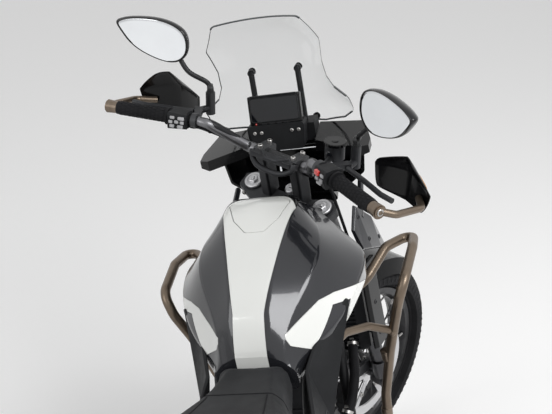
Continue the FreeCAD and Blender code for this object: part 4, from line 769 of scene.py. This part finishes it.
def guardSpot(side, u, v, depth):
    spot = Vector((depth, 0, 0))
    for row, down in zip(handGuards["rows"], foldWeights(u)):
        for point, across in zip(row, foldWeights(v)):
            spot += Vector(point) * down * across
    return bikeSide(side, spot)


def easedCorner(u, v):
    # only the four corners move, a little towards the middle
    ease = 1 - 0.05 * (abs(2 * u - 1) * abs(2 * v - 1)) ** 8
    return 0.5 + (u - 0.5) * ease, 0.5 + (v - 0.5) * ease


def makeHandGuards():
    builder = bmesh.new()
    steps = handGuards["steps"]
    for side in (1, -1):
        sheets = [[[builder.verts.new(guardSpot(side, *easedCorner(i / steps, j / steps), depth))
                    for j in range(steps + 1)] for i in range(steps + 1)]
                  for depth in (0, handGuards["depth"])]
        for sheet in sheets:
            for rowA, rowB in zip(sheet, sheet[1:]):
                bridge(builder, rowA, rowB, False)
        back, front = sheets
        rim = [(0, j) for j in range(steps)] + [(i, steps) for i in range(steps)]
        rim += [(steps - i, steps - j) for i, j in rim]
        bridge(builder, [back[i][j] for i, j in rim], [front[i][j] for i, j in rim])
    piece = settle("handGuardShells", builder, "black_plastic", "front_end", None, handGuards["edge"], 50.0)
    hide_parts("handguards")
    trim = bmesh.new()
    for side in (1, -1):
        for u, v in handGuards["screws"]:
            spot = guardSpot(side, u, v, handGuards["depth"])
            lathe(trim, screwHead(7, -0.5, 1.6, 5.6, 2.8, 3.0, 0.8), spot, (0.97, side * 0.24, 0), 14)
    settle("handGuardScrews", trim, "steel", "front_end")


makeHandGuards()


# Mirrors: a domed housing with a rolled rim, the glass set in it, and a bent stem with its nut

mirrorForm = {"middle": (1055, 343, 1360), "turnDeg": 20.0, "size": 1.05, "foot": (1130, 227, 1232),
              "stemRadius": 6.4,
              "outline": ((96, 34), (91, 40), (62, 50), (-2, 56), (-50, 47), (-79, 26), (-81, -20),
                          (-53, -47), (-6, -45), (58, -20), (93, 24)),
              # forward of the glass, size of the outline there
              "dome": ((-1.2, 0.985), (-1.2, 1.02), (1.5, 1.045), (8, 1.055), (17, 1.02), (26, 0.93),
                       (33, 0.8), (38, 0.62), (41, 0.38), (42, 0.12)),
              "stem": ((1130, 227, 1238), (1127, 236, 1258), (1094, 266, 1288), (1090, 296, 1322),
                       (1092, 312, 1334))}


def makeMirrors():
    shell, glass, stems = bmesh.new(), bmesh.new(), bmesh.new()
    size = mirrorForm["size"]
    outline = roundedLoop([Vector((0, a * size, b * size)) for a, b in mirrorForm["outline"]])
    middle = Vector(mirrorForm["middle"])
    turn = Matrix.Rotation(math.radians(mirrorForm["turnDeg"]), 3, "Z")
    for side in (1, -1):

        def at(forward, share):
            return [bikeSide(side, middle + turn @ Vector((forward, p.y * share, p.z * share)))
                    for p in outline]
        skinRings(shell, [at(forward, share) for forward, share in mirrorForm["dome"]], capped=False)
        shell.faces.new(addRing(shell, at(42.5, 0.06)))
        skinRings(glass, [at(0.6, 0.99), at(0.0, 0.975), at(0.0, 0.9)], capped=False)
        glass.faces.new(addRing(glass, at(0.0, 0.9)))
        stem = throughPoints([bikeSide(side, p) for p in mirrorForm["stem"]])
        sweepTube(stems, stem, mirrorForm["stemRadius"])
        lathe(stems, [(11, 0.4), (11, 3), (9.6, 3.4), (9.6, 13), (8.4, 14), (7.4, 22)],
              bikeSide(side, mirrorForm["foot"]), (0, 0, 1), 6)
        lathe(stems, [(9, -3), (10.5, 2), (9, 8), (6, 13)], stem[-6], stem[-6] - stem[-1], 16)
        # ball joint cup behind the housing
        lathe(stems, [(16, -2), (15, 5), (11, 9), (7, 11)],
              bikeSide(side, middle + turn @ Vector((38, -14, -14))),
              bikeSide(side, turn @ Vector((0.4, -0.6, -0.7))), 16)
    piece = settle("mirrorHousings", shell, "mirrorCase", "front_end", angle=60.0)
    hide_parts("mirrors")
    settle("mirrorStems", stems, "frame_paint", "front_end", "black_plastic", angle=45.0)
    settle("mirrorGlass", glass, "mirrorGlass", "front_end")


makeMirrors()
print("stage: hand guards and mirrors")


# Screen: its cut edge is a dark line, with four rubber-ringed screws

screenForm = {"edgeOut": 1.4, "edgeWide": 4.0, "sheet": 4.6,
              # height, forward of the middle, radius of the arc
              "rows": ((1462, 1262, 214), (1435, 1278, 210), (1365, 1335, 205), (1271, 1364, 198),
                       (1210, 1381, 232), (1096, 1401, 240)),
              "screws": ((62, 1276), (-62, 1276), (74, 1122), (-74, 1122)),
              "screw": [(9.5, -0.3), (9.5, 1.4), (7.2, 2.2), (7.2, 3.4), (5.6, 5.0), (3.0, 5.0), (3.0, 2.6)]}


def screenArc(z):
    # forward of the middle and radius at one height
    rows = screenForm["rows"]
    for (z1, x1, r1), (z0, x0, r0) in zip(rows, rows[1:]):
        if z0 <= z <= z1:
            t = (z - z0) / (z1 - z0)
            return x0 + (x1 - x0) * t, r0 + (r1 - r0) * t
    return rows[0][1:] if z > rows[0][0] else rows[-1][1:]


def makeScreenEdge():
    source = bmesh.new()
    source.from_mesh(nodes["windscreen"].data)
    source.transform(fixedPlace.inverted())
    bmesh.ops.remove_doubles(source, verts=source.verts, dist=0.01)
    source.normal_update()
    sheetFaces = []
    for face in source.faces:
        spot = face.calc_center_median()
        x, radius = screenArc(spot.z)
        outward = Vector((spot.x - (x - radius), spot.y, 0)).normalized()
        if abs(face.normal.dot(outward)) > 0.5:
            sheetFaces.append(face)
    bmesh.ops.delete(source, geom=sheetFaces, context="FACES")
    for vertex in source.verts:
        vertex.co += vertex.normal * screenForm["edgeOut"]
    bmesh.ops.solidify(source, geom=list(source.faces), thickness=screenForm["edgeWide"])
    settle("screenEdge", source, "screenRim", "frame", angle=60.0)
    screws = bmesh.new()
    for y, z in screenForm["screws"]:
        spot, normal = surfaceSpot("windscreen", (1100, y, z), (1, 0, 0))
        if spot is not None:
            for foot, way in ((spot - normal * screenForm["sheet"], -normal), (spot, normal)):
                lathe(screws, screenForm["screw"], foot, way, 18)
    settle("screenScrews", screws, "black_plastic", "frame")


makeScreenEdge()


# Display: dark glass in a raised bezel with keys below it and a hood above, a warning lamp, screws beside it

displayForm = {"tiltDeg": 15.0, "place": (1268, 0, 1156), "glassHalf": 62.0, "low": 10.0, "high": 69.0,
               "keys": (-30, -10, 10, 30), "screws": (-58, -40, 40, 58)}


def makeDisplay():
    turn = Matrix.Rotation(math.radians(displayForm["tiltDeg"]), 3, "Y")
    low, high, half = displayForm["low"], displayForm["high"], displayForm["glassHalf"]

    def at(x, y, z):
        return Vector(displayForm["place"]) + turn @ Vector((x, y, z))

    def loop(x, inset):
        return [at(x, y, (low + high) / 2 + z)
                for y, z in roundedBox(half - inset, (high - low) / 2 - inset, max(2.0, 6.0 - inset))]
    glass = bmesh.new()
    skinRings(glass, [loop(-11.9, 0), loop(-12.5, 0.4), loop(-12.5, 3)], capped=False)
    glass.faces.new(addRing(glass, loop(-12.5, 3)))
    settle("displayGlass", glass, "displayGlass", "frame")
    bezel = bmesh.new()
    skinRings(bezel, [loop(-11.6, -3.2), loop(-13.6, -2.6), loop(-14.2, -1.2), loop(-13.4, 0.3),
                      loop(-11.9, 0.3)], capped=False)
    for y in displayForm["keys"]:
        block(bezel, at(-12.6, y, 4.4), 1.4, 6.5, 2.0, turn)
    sweepTube(bezel, [at(-13, y, 75) for y in (-60, -30, 0, 30, 60)], 2.4, 10)
    settle("displayBezel", bezel, "matte", "frame", "black_plastic", angle=50.0)
    turned("warningLamp", "redButton", "frame",
           [([(2.6, 0), (2.6, 1.2), (1.6, 2.0)], at(-12, 52, 4.4), turn @ Vector((-1, 0, 0)), 12)])
    pod = bmesh.new()
    for y in displayForm["screws"]:
        castLathe(pod, screwHead(4.6, -0.2, 1.8, 3.6, 2.6, 2.0, 1.0), "screen_mount", (1200, y, 1142),
                  (1, 0, 0), 12)
    settle("podScrews", pod, "steel", "frame")


makeDisplay()


# Switch blocks: keys on the rider's side, pale on the left, a red stop switch on the right, and their wiring

switchKeys = {
    # share along the block, height on it, half length, half height, rise
    "left": ((0.25, 11, 8, 4, 4.0), (0.72, 12, 6, 3.5, 3.0), (0.2, 0, 5, 4, 3.0), (0.5, 1, 5, 4, 3.5),
             (0.82, 0, 5, 4, 3.0), (0.3, -11, 7, 4, 6.0), (0.75, -11, 6, 4, 3.0)),
    "right": ((0.75, 9, 6, 4, 3.0), (0.3, -5, 6, 4, 3.0), (0.7, -5, 6, 5, 4.0), (0.5, -14, 9, 3, 3.0)),
    "stop": ((0.35, 10, 8, 6, 7.0),),
    "wiring": ((1085, 130, 1150), (1132, 98, 1106), (1150, 60, 1092)), "wiringRadius": 4.2, "clips": (19, 29)}


def makeSwitches():
    pale, red, seams = bmesh.new(), bmesh.new(), bmesh.new()
    for side, keyRows in ((1, ((pale, "left"),)), (-1, ((red, "stop"), (pale, "right")))):
        near, far = barSpot(side, 208), barSpot(side, 253)
        run = (far - near).normalized()
        up = Vector((0, 0, 1))
        ahead = up.cross(run) if side < 0 else run.cross(up)
        turn = Matrix((ahead, run, up)).transposed()
        for builder, name in keyRows:
            for share, height, halfLong, halfHigh, rise in switchKeys[name]:
                spot = near + (far - near) * share - ahead * (25 + 3 * share) + up * height
                skinRings(builder, [[spot - ahead * out + turn @ Vector((0, a, b))
                                     for a, b in roundedBox(halfLong * size, halfHigh * size, 1.6)]
                                    for out, size in ((-2, 1.0), (rise * 0.7, 0.98), (rise, 0.8))])
        for share in (0.02, 0.98):                  # the block's split and its clamp ribs
            middle = near + (far - near) * share
            edge = 19.4 + 3 * share
            back = -edge - 6.1
            loop = roundedLoop([middle + ahead * a + up * b
                                for a, b in ((back, -edge), (edge, -edge), (edge, edge), (back, edge))], 2)
            sweepTube(seams, loop + loop[:1], 1.3, 6)
        # the wires leave the block and run in a sleeve along the bar to the middle
        sleeve = throughPoints([near - up * 16 + run * 12, near - up * 19 - run * 8,
                                barSpot(side, 178) - up * 17 - ahead * 2]
                               + [bikeSide(side, p) for p in switchKeys["wiring"]])
        sweepTube(seams, sleeve, switchKeys["wiringRadius"], 10)
        for i in switchKeys["clips"]:
            lathe(seams, [(5.6, -2.5), (5.6, 2.5)], sleeve[i], sleeve[i + 1] - sleeve[i], 12)
    settle("switchKeys", pale, "paleKey", "front_end", bevel=0.5)
    settle("stopSwitch", red, "redButton", "front_end", bevel=0.6)
    settle("barWiring", seams, "rubber", "front_end", angle=50.0)


makeSwitches()
print("stage: screen, display and switches")


# Bars and yoke: tapered middle, fork caps, clamp and pinch bolts, the tie of the clamps, key switch, pot lid

barTrim = {"centre": (1136, 0, 1119), "taperStart": 14.6, "taperEnd": 11.6,
           "bend": ((1136, 69, 1119), (1136, 86, 1119), (1128.5, 104, 1124.5), (1096, 128, 1152),
                    (1064, 150, 1180), (1047, 163, 1194)),
           # profile and sides of a fork cap's rings
           "forkCap": (([(24.5, -1), (24.5, 2.5), (22.5, 4.5), (17, 4.5), (16, 3.2), (15, 3.2)], 36),
                       ([(12.5, 2.5), (12.5, 8.5), (11, 9.8), (6, 9.8), (5.6, 7.5)], 6),
                       ([(4.6, 6), (4.6, 11.5), (3.6, 12.4), (1.0, 12.4)], 16)),
           # left half of the tie's two loops, from the clamp to the middle, and their radius
           "tie": ((((1108, 66, 1128), (1098, 58, 1116), (1090, 36, 1106), (1088, 0, 1103)), 7.2),
                   (((1112, 40, 1138), (1096, 20, 1134), (1094, 0, 1133)), 5.0)),
           "pot": (1125, -170, 1224), "potRibs": 24}


def makeBarTrim():
    bar = bmesh.new()
    for side in (1, -1):
        line = throughPoints([bikeSide(side, p) for p in barTrim["bend"]] + [barSpot(side, 186)])
        fall = barTrim["taperEnd"] - barTrim["taperStart"]
        sweepTube(bar, line, [barTrim["taperStart"] + fall * min(1.0, max(0.0, (i - 10) / (len(line) - 16)))
                              for i in range(len(line))], 20)
    settle("barTaper", bar, "barAlloy", "front_end", "frame_paint")

    turned("forkCaps", "brightAlloy", "front_end",
           [(profile, onSteer(1102, 42, y), steerUp, sides)
            for y in (110, -110) for profile, sides in barTrim["forkCap"]]
           + [([(18, 12), (18, 15), (13, 16.5), (8, 16.5), (7.5, 12)], onSteer(1098), steerUp, 6)], 30.0)
    centre = Vector(barTrim["centre"])
    turned("yokeBolts", "steel", "front_end",
           [(screwHead(6.4, -0.5, 6.5, 5.6, 7.6, 3.4, 3.5), centre + Vector((x, y, 21)), (0, 0, 1), 16)
            for x in (-18.5, 18.5) for y in (52, -52)]
           + [(screwHead(6, -3, 5, 5, 6, 3.2, 2), onSteer(up, 9, y), -steerAhead, 14)
              for y in (96, 122, -96, -122) for up in (1086, 866)], 35.0)

    # the cast tie that loops below the bar between the two clamps, on the rider's side
    tie = bmesh.new()
    for points, radius in barTrim["tie"]:
        sweepTube(tie, throughPoints(list(points) + [bikeSide(-1, p) for p in points[-2::-1]]), radius, 12)
    for side in (1, -1):
        lathe(tie, [(11, -7), (12, -5), (12, 5), (11, 7)], bikeSide(side, (1106, 62, 1127)), (0.4, 0, 1), 20)
    settle("barTie", tie, "cast", "front_end", angle=50.0)

    turned("keySwitch", "brightAlloy", "front_end",
           [([(15, -6), (15, 9), (13, 11), (9, 11), (8.4, 9.4), (1, 9.4)], onSteer(1098, 58), steerUp, 28)])
    # painted shade: a thin black block on the key switch stands for the shaded hole of the key slot
    slotShade = bmesh.new()
    turn = Matrix((steerAhead, Vector((0, 1, 0)), steerUp)).transposed()
    block(slotShade, onSteer(1107.7, 58), 0.9, 4.6, 0.5, turn)
    settle("keySlotShade", slotShade, "black_plastic", "front_end")

    pot = bmesh.new()
    seat = Vector(barTrim["pot"])
    lathe(pot, [(27, -5), (27.4, -1), (27.4, 1.2), (25.5, 2.6), (9, 2.6), (8.4, 4.2), (3, 4.4)], seat,
          (0, 0, 1), 40)
    for a in ringAngles(barTrim["potRibs"]):        # finger ribs round the lid
        block(pot, seat + Vector((27.2 * math.cos(a), 27.2 * math.sin(a), -1.5)), 1.1, 1.1, 3.4,
              Matrix.Rotation(a, 3, "Z"))
    settle("fluidPotLid", pot, "black_plastic", "front_end", angle=35.0)
    turned("fluidWindow", "displayGlass", "front_end",
           [([(7.4, -1), (7.4, 1.0), (6.2, 1.8), (1, 1.8)], seat + Vector((-23.6, 0, -24)), (-1, 0, 0), 24)])


makeBarTrim()


# Grips: rows of raised pads, and the screw in each bar end

gripForm = {"rows": 11, "padsRound": 12, "radius": 16.5, "from": 268, "to": 386}


def makeGripPads():
    pads = bmesh.new()
    for side in (1, -1):
        inner = barSpot(side, gripForm["from"])
        whole = barSpot(side, gripForm["to"]) - inner
        run = whole.normalized()
        across = run.orthogonal().normalized()
        up = run.cross(across)
        for i in range(gripForm["rows"]):
            for a in ringAngles(gripForm["padsRound"]):
                a += math.pi * (i % 2) / gripForm["padsRound"]
                out = across * math.cos(a) + up * math.sin(a)
                spot = inner + whole * (i + 0.5) / gripForm["rows"] + out * gripForm["radius"]
                turn = Matrix((run, run.cross(out), out)).transposed()
                block(pads, spot, whole.length / gripForm["rows"] * 0.36, 2.9, 0.8, turn)
    settle("gripPads", pads, "rubber", "front_end", bevel=0.4)
    turned("barEndScrews", "steel", "front_end",
           [(screwHead(9, 2, 3.6, 8, 4.6, 5.4, 1.5), barSpot(side, 417),
             barSpot(side, 417) - barSpot(side, 300), 20) for side in (1, -1)])


makeGripPads()


# Panel screws, each cast on to its panel from the side

panelScrews = {
    # forward and up of each screw; a name that ends in _ stands for a left and a right panel
    "side_panel_": ((640, 620), (690, 660)), "side_fairing_": ((1215, 900), (1228, 830), (1300, 800)),
    "radiator_shroud_": ((1143, 600), (1143, 690), (1143, 786)), "tank_side_": ((1040, 860), (700, 770)),
    "tail_covers": ((520, 680), (330, 735), (90, 800), (-110, 852)),
    "front_cowl": ((1375, 1000), (1440, 990))}


def makePanelScrews():
    screws = bmesh.new()
    for panel, spots in panelScrews.items():
        for side, name in ((1, "left"), (-1, "right")):
            node = panel + name if panel.endswith("_") else panel
            for x, z in spots:
                castFromSide(screws, screwHead(6.2, -0.6, 0.9, 5.0, 2.0, 2.8, 0.6), node, side, x, z, 14)
    settle("panelScrews", screws, "cast", "frame", angle=35.0)


makePanelScrews()
print("stage: bars and tank trim")


# Crash bars: joint sleeves, a weld bead where the tubes meet, and mounting bolts

crashForm = {"tubeRadius": 12.0,
             # sleeve middle, the way it points, length
             "sleeves": (((1051.6, 199, 408), (2, -8, -100), 46), ((1031, 230, 600), (-10, -3, 80), 30)),
             "weld": (1016, 258, 676), "weldWay": (-41, -48, 40),
             "mounts": ((1094, 112, 716), (1052, 118, 300), (806, 135, 742))}


def makeCrashTrim():
    sleeves, bolts = bmesh.new(), bmesh.new()
    radius = crashForm["tubeRadius"] + 2.6
    for side in (1, -1):
        for middle, way, length in crashForm["sleeves"]:
            half = length / 2
            sleeve = [(radius - 2, -half), (radius, 1.5 - half), (radius, half - 1.5), (radius - 2, half)]
            lathe(sleeves, sleeve, bikeSide(side, middle), bikeSide(side, way), 28)
        lathe(sleeves, [(12, -5), (15.2, -2), (15.6, 1), (13.4, 5), (12, 8)],
              bikeSide(side, crashForm["weld"]), bikeSide(side, crashForm["weldWay"]), 24)
        for spot in crashForm["mounts"]:
            lathe(bolts, [(13, -3), (13, 3), (9, 3.4), (9, 10), (8, 11), (4.6, 11), (4.6, 6)],
                  bikeSide(side, spot), (0, side, 0), 20)
    settle("crashBarSleeves", sleeves, "bronze", "frame", angle=40.0)
    settle("crashBarBolts", bolts, "steel", "frame", angle=35.0)


makeCrashTrim()


# Radiator: filler neck with its cap, and two hoses to the engine with their clips

radiatorForm = {"hoseRadius": 13.0, "cap": (1128, -132, 820),
                "hoses": (((1120, 120, 790), (1096, 120, 772), (1060, 100, 745), (1010, 66, 716),
                           (986, 50, 700)),
                          ((1120, -126, 592), (1098, -128, 570), (1066, -128, 520), (1030, -118, 470),
                           (1000, -104, 440))),
                # clip's middle and the way the hose runs there
                "clips": (((1114, 120, 786), (-24, 0, -18)), ((1000, 59, 710), (-24, -18, -16)),
                          ((1114, -126.5, 586), (-22, 0, -22)), ((1008, -107, 448), (-26, 12, -30)))}


def makeRadiatorTrim():
    cap, hoses, clips = bmesh.new(), bmesh.new(), bmesh.new()
    spot = Vector(radiatorForm["cap"])
    lathe(cap, [(12, -14), (12, 0), (16, 0.5), (17, 3), (17, 7), (15, 9), (6, 10)], spot, (0, 0, 1), 28)
    block(cap, spot + Vector((0, 0, 10)), 12, 3.5, 1.6)
    block(cap, spot + Vector((0, 0, 10)), 3.5, 12, 1.6)
    settle("radiatorCap", cap, "brightAlloy", "frame", angle=35.0)
    for points in radiatorForm["hoses"]:
        sweepTube(hoses, throughPoints(points), radiatorForm["hoseRadius"], 18)
    settle("coolantHoses", hoses, "rubber", "frame", angle=60.0)
    for spot, way in radiatorForm["clips"]:
        lathe(clips, [(13.4, -4), (15, -4), (15, 4), (13.4, 4)], spot, way, 24)
        block(clips, Vector(spot) + Vector((0, 0, 16)), 3, 5, 3)
    settle("hoseClips", clips, "steel", "frame", angle=35.0)


makeRadiatorTrim()
print("stage: crash bars and radiator")


# Bolts found by casting on to the solids: engine covers, skid plate, rack, swingarm, silencer and calipers

boltRows = (
    # body, node, sides, the way of the cast on the left, radius, starts on the left
    ("frame", "engine", (1, -1), (0, -1, 0), 6.5,
     ((700, 400, 290), (740, 400, 286), (700, 400, 480), (900, 400, 560), (960, 400, 560), (930, 400, 640),
      (985, 400, 640))),
    ("frame", "skid_plate", (1, -1), (0, 0, 1), 8.0, ((760, 90, 60), (860, 90, 60), (960, 90, 60))),
    ("frame", "rear_rack", (1, -1), (0, 0, -1), 7.0, ((-10, 55, 1100), (-110, 55, 1100))),
    ("frame", "swingarm", (1, -1), (0, -1, 0), 9.0, ((60, 400, 333), (520, 400, 400))),
    ("frame", "silencer", (-1,), (0, -1, 0), 5.0, ((210, 500, 522),)),
    ("front_end", "front_calipers", (1, -1), (0, -1, 0), 6.0, ((1400, 400, 380),)))


def makeFasteners():
    for wanted in ("frame", "front_end"):
        builder = bmesh.new()
        for body, node, sides, way, radius, starts in boltRows:
            if body != wanted:
                continue
            head = [(radius * 1.35, -0.8), (radius * 1.35, 1.2), (radius, 1.4), (radius, radius * 0.8),
                    (radius * 0.85, radius * 0.95), (radius * 0.5, radius * 0.95),
                    (radius * 0.5, radius * 0.4)]
            for side in sides:
                for start in starts:
                    castLathe(builder, head, node, bikeSide(side, start), bikeSide(side, way), 16)
        settle(wanted + "Bolts", builder, "cast", wanted, angle=35.0)


makeFasteners()


# Lamps: reflector bowls and a plate behind the front lens, rear turn signals, slim lenses in the hand guards

lampForm = {"bowls": ((1465, 34, 976), (1465, -34, 976)), "plate": (1449, 0, 974),
            "signalRoot": (-236, 48, 742), "signalTip": (-240, 92, 748), "stalkRadius": 6.5,
            "guardLens": (0.42, 0.66, 0.93),
            "bowl": [(30, 0), (29, -2), (24, -10), (15, -16), (7, -18), (6.4, -14), (4, -9), (1, -8)]}


def makeLamps():
    turned("lampBowls", "chrome", "frame",
           [(lampForm["bowl"], spot, (1, 0, 0), 36) for spot in lampForm["bowls"]], 50.0)
    plate = bmesh.new()
    block(plate, lampForm["plate"], 3, 66, 38)
    settle("lampBack", plate, "black_plastic", "frame", bevel=3.0)
    stalks, lenses, front = bmesh.new(), bmesh.new(), bmesh.new()
    height, inner, outer = lampForm["guardLens"]
    for side in (1, -1):
        a, b = bikeSide(side, lampForm["signalRoot"]), bikeSide(side, lampForm["signalTip"])
        sweepTube(stalks, throughPoints([a, (a + b) / 2 + Vector((0, 0, 2)), b], 6), lampForm["stalkRadius"])
        skinRings(stalks, [[b + Vector((math.cos(t) * 11 * size, side * out, math.sin(t) * 14 * size))
                            for t in ringAngles(20)]
                           for out, size in ((-14, 0.7), (0, 1.0), (26, 1.0), (38, 0.72))])
        skinRings(lenses, [[b + Vector((-out, side * (13 + 17 * math.cos(t) * size), 11 * math.sin(t) * size))
                            for t in ringAngles(24)] for out, size in ((8, 0.95), (11.4, 0.92), (12.6, 0.7))])
        skinRings(front, [[guardSpot(side, height + 0.075 * math.sin(t) * size,
                                     (inner + outer) / 2 + math.cos(t) * (outer - inner) / 2 * size,
                                     handGuards["depth"] + out)
                           for t in ringAngles(24)] for out, size in ((-0.5, 1.0), (1.6, 1.0), (2.6, 0.7))])
    settle("signalStalks", stalks, "rubber", "frame", angle=50.0)
    settle("signalLenses", lenses, "amberLens", "frame", angle=40.0)
    settle("guardSignals", front, "amberLens", "front_end", angle=40.0)


makeLamps()
print("stage: fasteners and lamps")


# Engine trim: cover rims with their screws, two plugs, and a lead from each spark plug

engineForm = {"leadRadius": 3.6, "coverScrews": 8,
              # side, x, z, radius, how far the face stands out
              "covers": ((-1, 770, 398, 92, 132), (-1, 896, 418, 46, 122), (1, 884, 392, 84, 130)),
              # radius as a share of the cover's, height
              "rim": ((0.72, -1), (0.72, 1.2), (0.68, 2.4), (0.62, 2.4), (0.6, 1.0), (0.3, 0.8), (0.28, 2.0),
                      (0.1, 2.6)),
              "plugs": ((-1, 712, 452, 15), (1, 850, 300, 12)), "sparkPlug": (930, 400, 690)}


def makeEngineTrim():
    rims, plugs, leads = bmesh.new(), bmesh.new(), bmesh.new()
    for side, x, z, radius, out in engineForm["covers"]:
        lathe(rims, [(radius * share, height) for share, height in engineForm["rim"]] + [(0.5, 2.6)],
              (x, side * out, z), (0, side, 0), 48)
        for a in ringAngles(engineForm["coverScrews"]):
            a += math.pi / engineForm["coverScrews"]
            spot = (x + math.cos(a) * radius * 0.86, side * (out - 1), z + math.sin(a) * radius * 0.86)
            lathe(rims, screwHead(5.4, -2, 3, 4.4, 4, 2.6, 1.5), spot, (0, side, 0), 14)
    settle("engineCoverRims", rims, "cast", "frame", angle=40.0)
    for side, x, z, radius in engineForm["plugs"]:
        plug = [(radius, -1), (radius, 4), (radius * 0.9, 5.5), (radius * 0.6, 5.5), (radius * 0.5, 9),
                (radius * 0.3, 10)]
        castFromSide(plugs, plug, "engine", side, x, z, 6)
    settle("enginePlugs", plugs, "brightAlloy", "frame", angle=35.0)
    for side in (1, -1):
        spot, normal = surfaceSpot("engine", bikeSide(side, engineForm["sparkPlug"]), (0, -side, 0))
        if spot is None:
            continue
        line = throughPoints([spot - normal * 2, spot + normal * 16 + Vector((0, 0, 6)),
                              spot + normal * 15 + Vector((-30, 0, 46)), bikeSide(side, (880, 60, 742))])
        sweepTube(leads, line, engineForm["leadRadius"], 10)
        lathe(leads, [(8, -1), (8, 6), (6, 14), (5, 20)], spot, line[3] - line[0], 16)
    settle("plugLeads", leads, "rubber", "frame", angle=50.0)


makeEngineTrim()


# Silencer: two straps round the can

silencerForm = {"along": ((474, -176, 384), (60, -190, 600)), "reach": 190, "steps": 40,
                "straps": (0.3, 0.8), "strapHalf": 9.0, "strapThick": 1.6}


def makeSilencerTrim():
    trim = bmesh.new()
    start, end = (Vector(p) for p in silencerForm["along"])
    way = (end - start).normalized()
    across = way.orthogonal().normalized()
    up = way.cross(across)
    half, thick = silencerForm["strapHalf"], silencerForm["strapThick"]
    for share in silencerForm["straps"]:
        # the can's outline there, cast on to the CAD solid from round its middle line
        outline = []
        for a in ringAngles(silencerForm["steps"]):
            out = across * math.cos(a) + up * math.sin(a)
            outside = start + (end - start) * share + out * silencerForm["reach"]
            outline.append(surfaceSpot("silencer", outside, -out)[0])
        if any(p is None for p in outline):
            continue
        centre = sum(outline, Vector()) / len(outline)
        rings = [[p + way * shift + (p - centre).normalized() * lift for p in outline]
                 for shift, lift in ((-half, 0.2), (-half, thick), (half, thick), (half, 0.2))]
        skinRings(trim, rings, capped=False)
    settle("silencerStraps", trim, "cast", "frame", angle=35.0)


makeSilencerTrim()


# Chain guard over the top run

chainGuardForm = {"path": ((60, 96, 448), (180, 97, 446), (300, 98, 440), (410, 97, 430)), "thick": 2.2,
                  "high": 30.0, "halfWide": 12}


def makeChainGuard():
    guard = bmesh.new()
    line = throughPoints(chainGuardForm["path"], 6)
    thick, high, wide = chainGuardForm["thick"], chainGuardForm["high"], chainGuardForm["halfWide"]
    rings = []
    for i, spot in enumerate(line):
        ease = min(1.0, 0.35 + 0.3 * min(i, len(line) - 1 - i))
        top, low = high * 0.2 * ease, -high * ease
        rings.append([spot + Vector((0, y, z)) for y, z in
                      ((wide, low), (wide, top), (-wide, top), (-wide, top - thick),
                       (wide - thick, top - thick), (wide - thick, low))])
    skinRings(guard, rings)
    settle("chainGuard", guard, "matte", "frame", bevel=0.6, angle=35.0)


makeChainGuard()
print("stage: engine, silencer and chain guard")
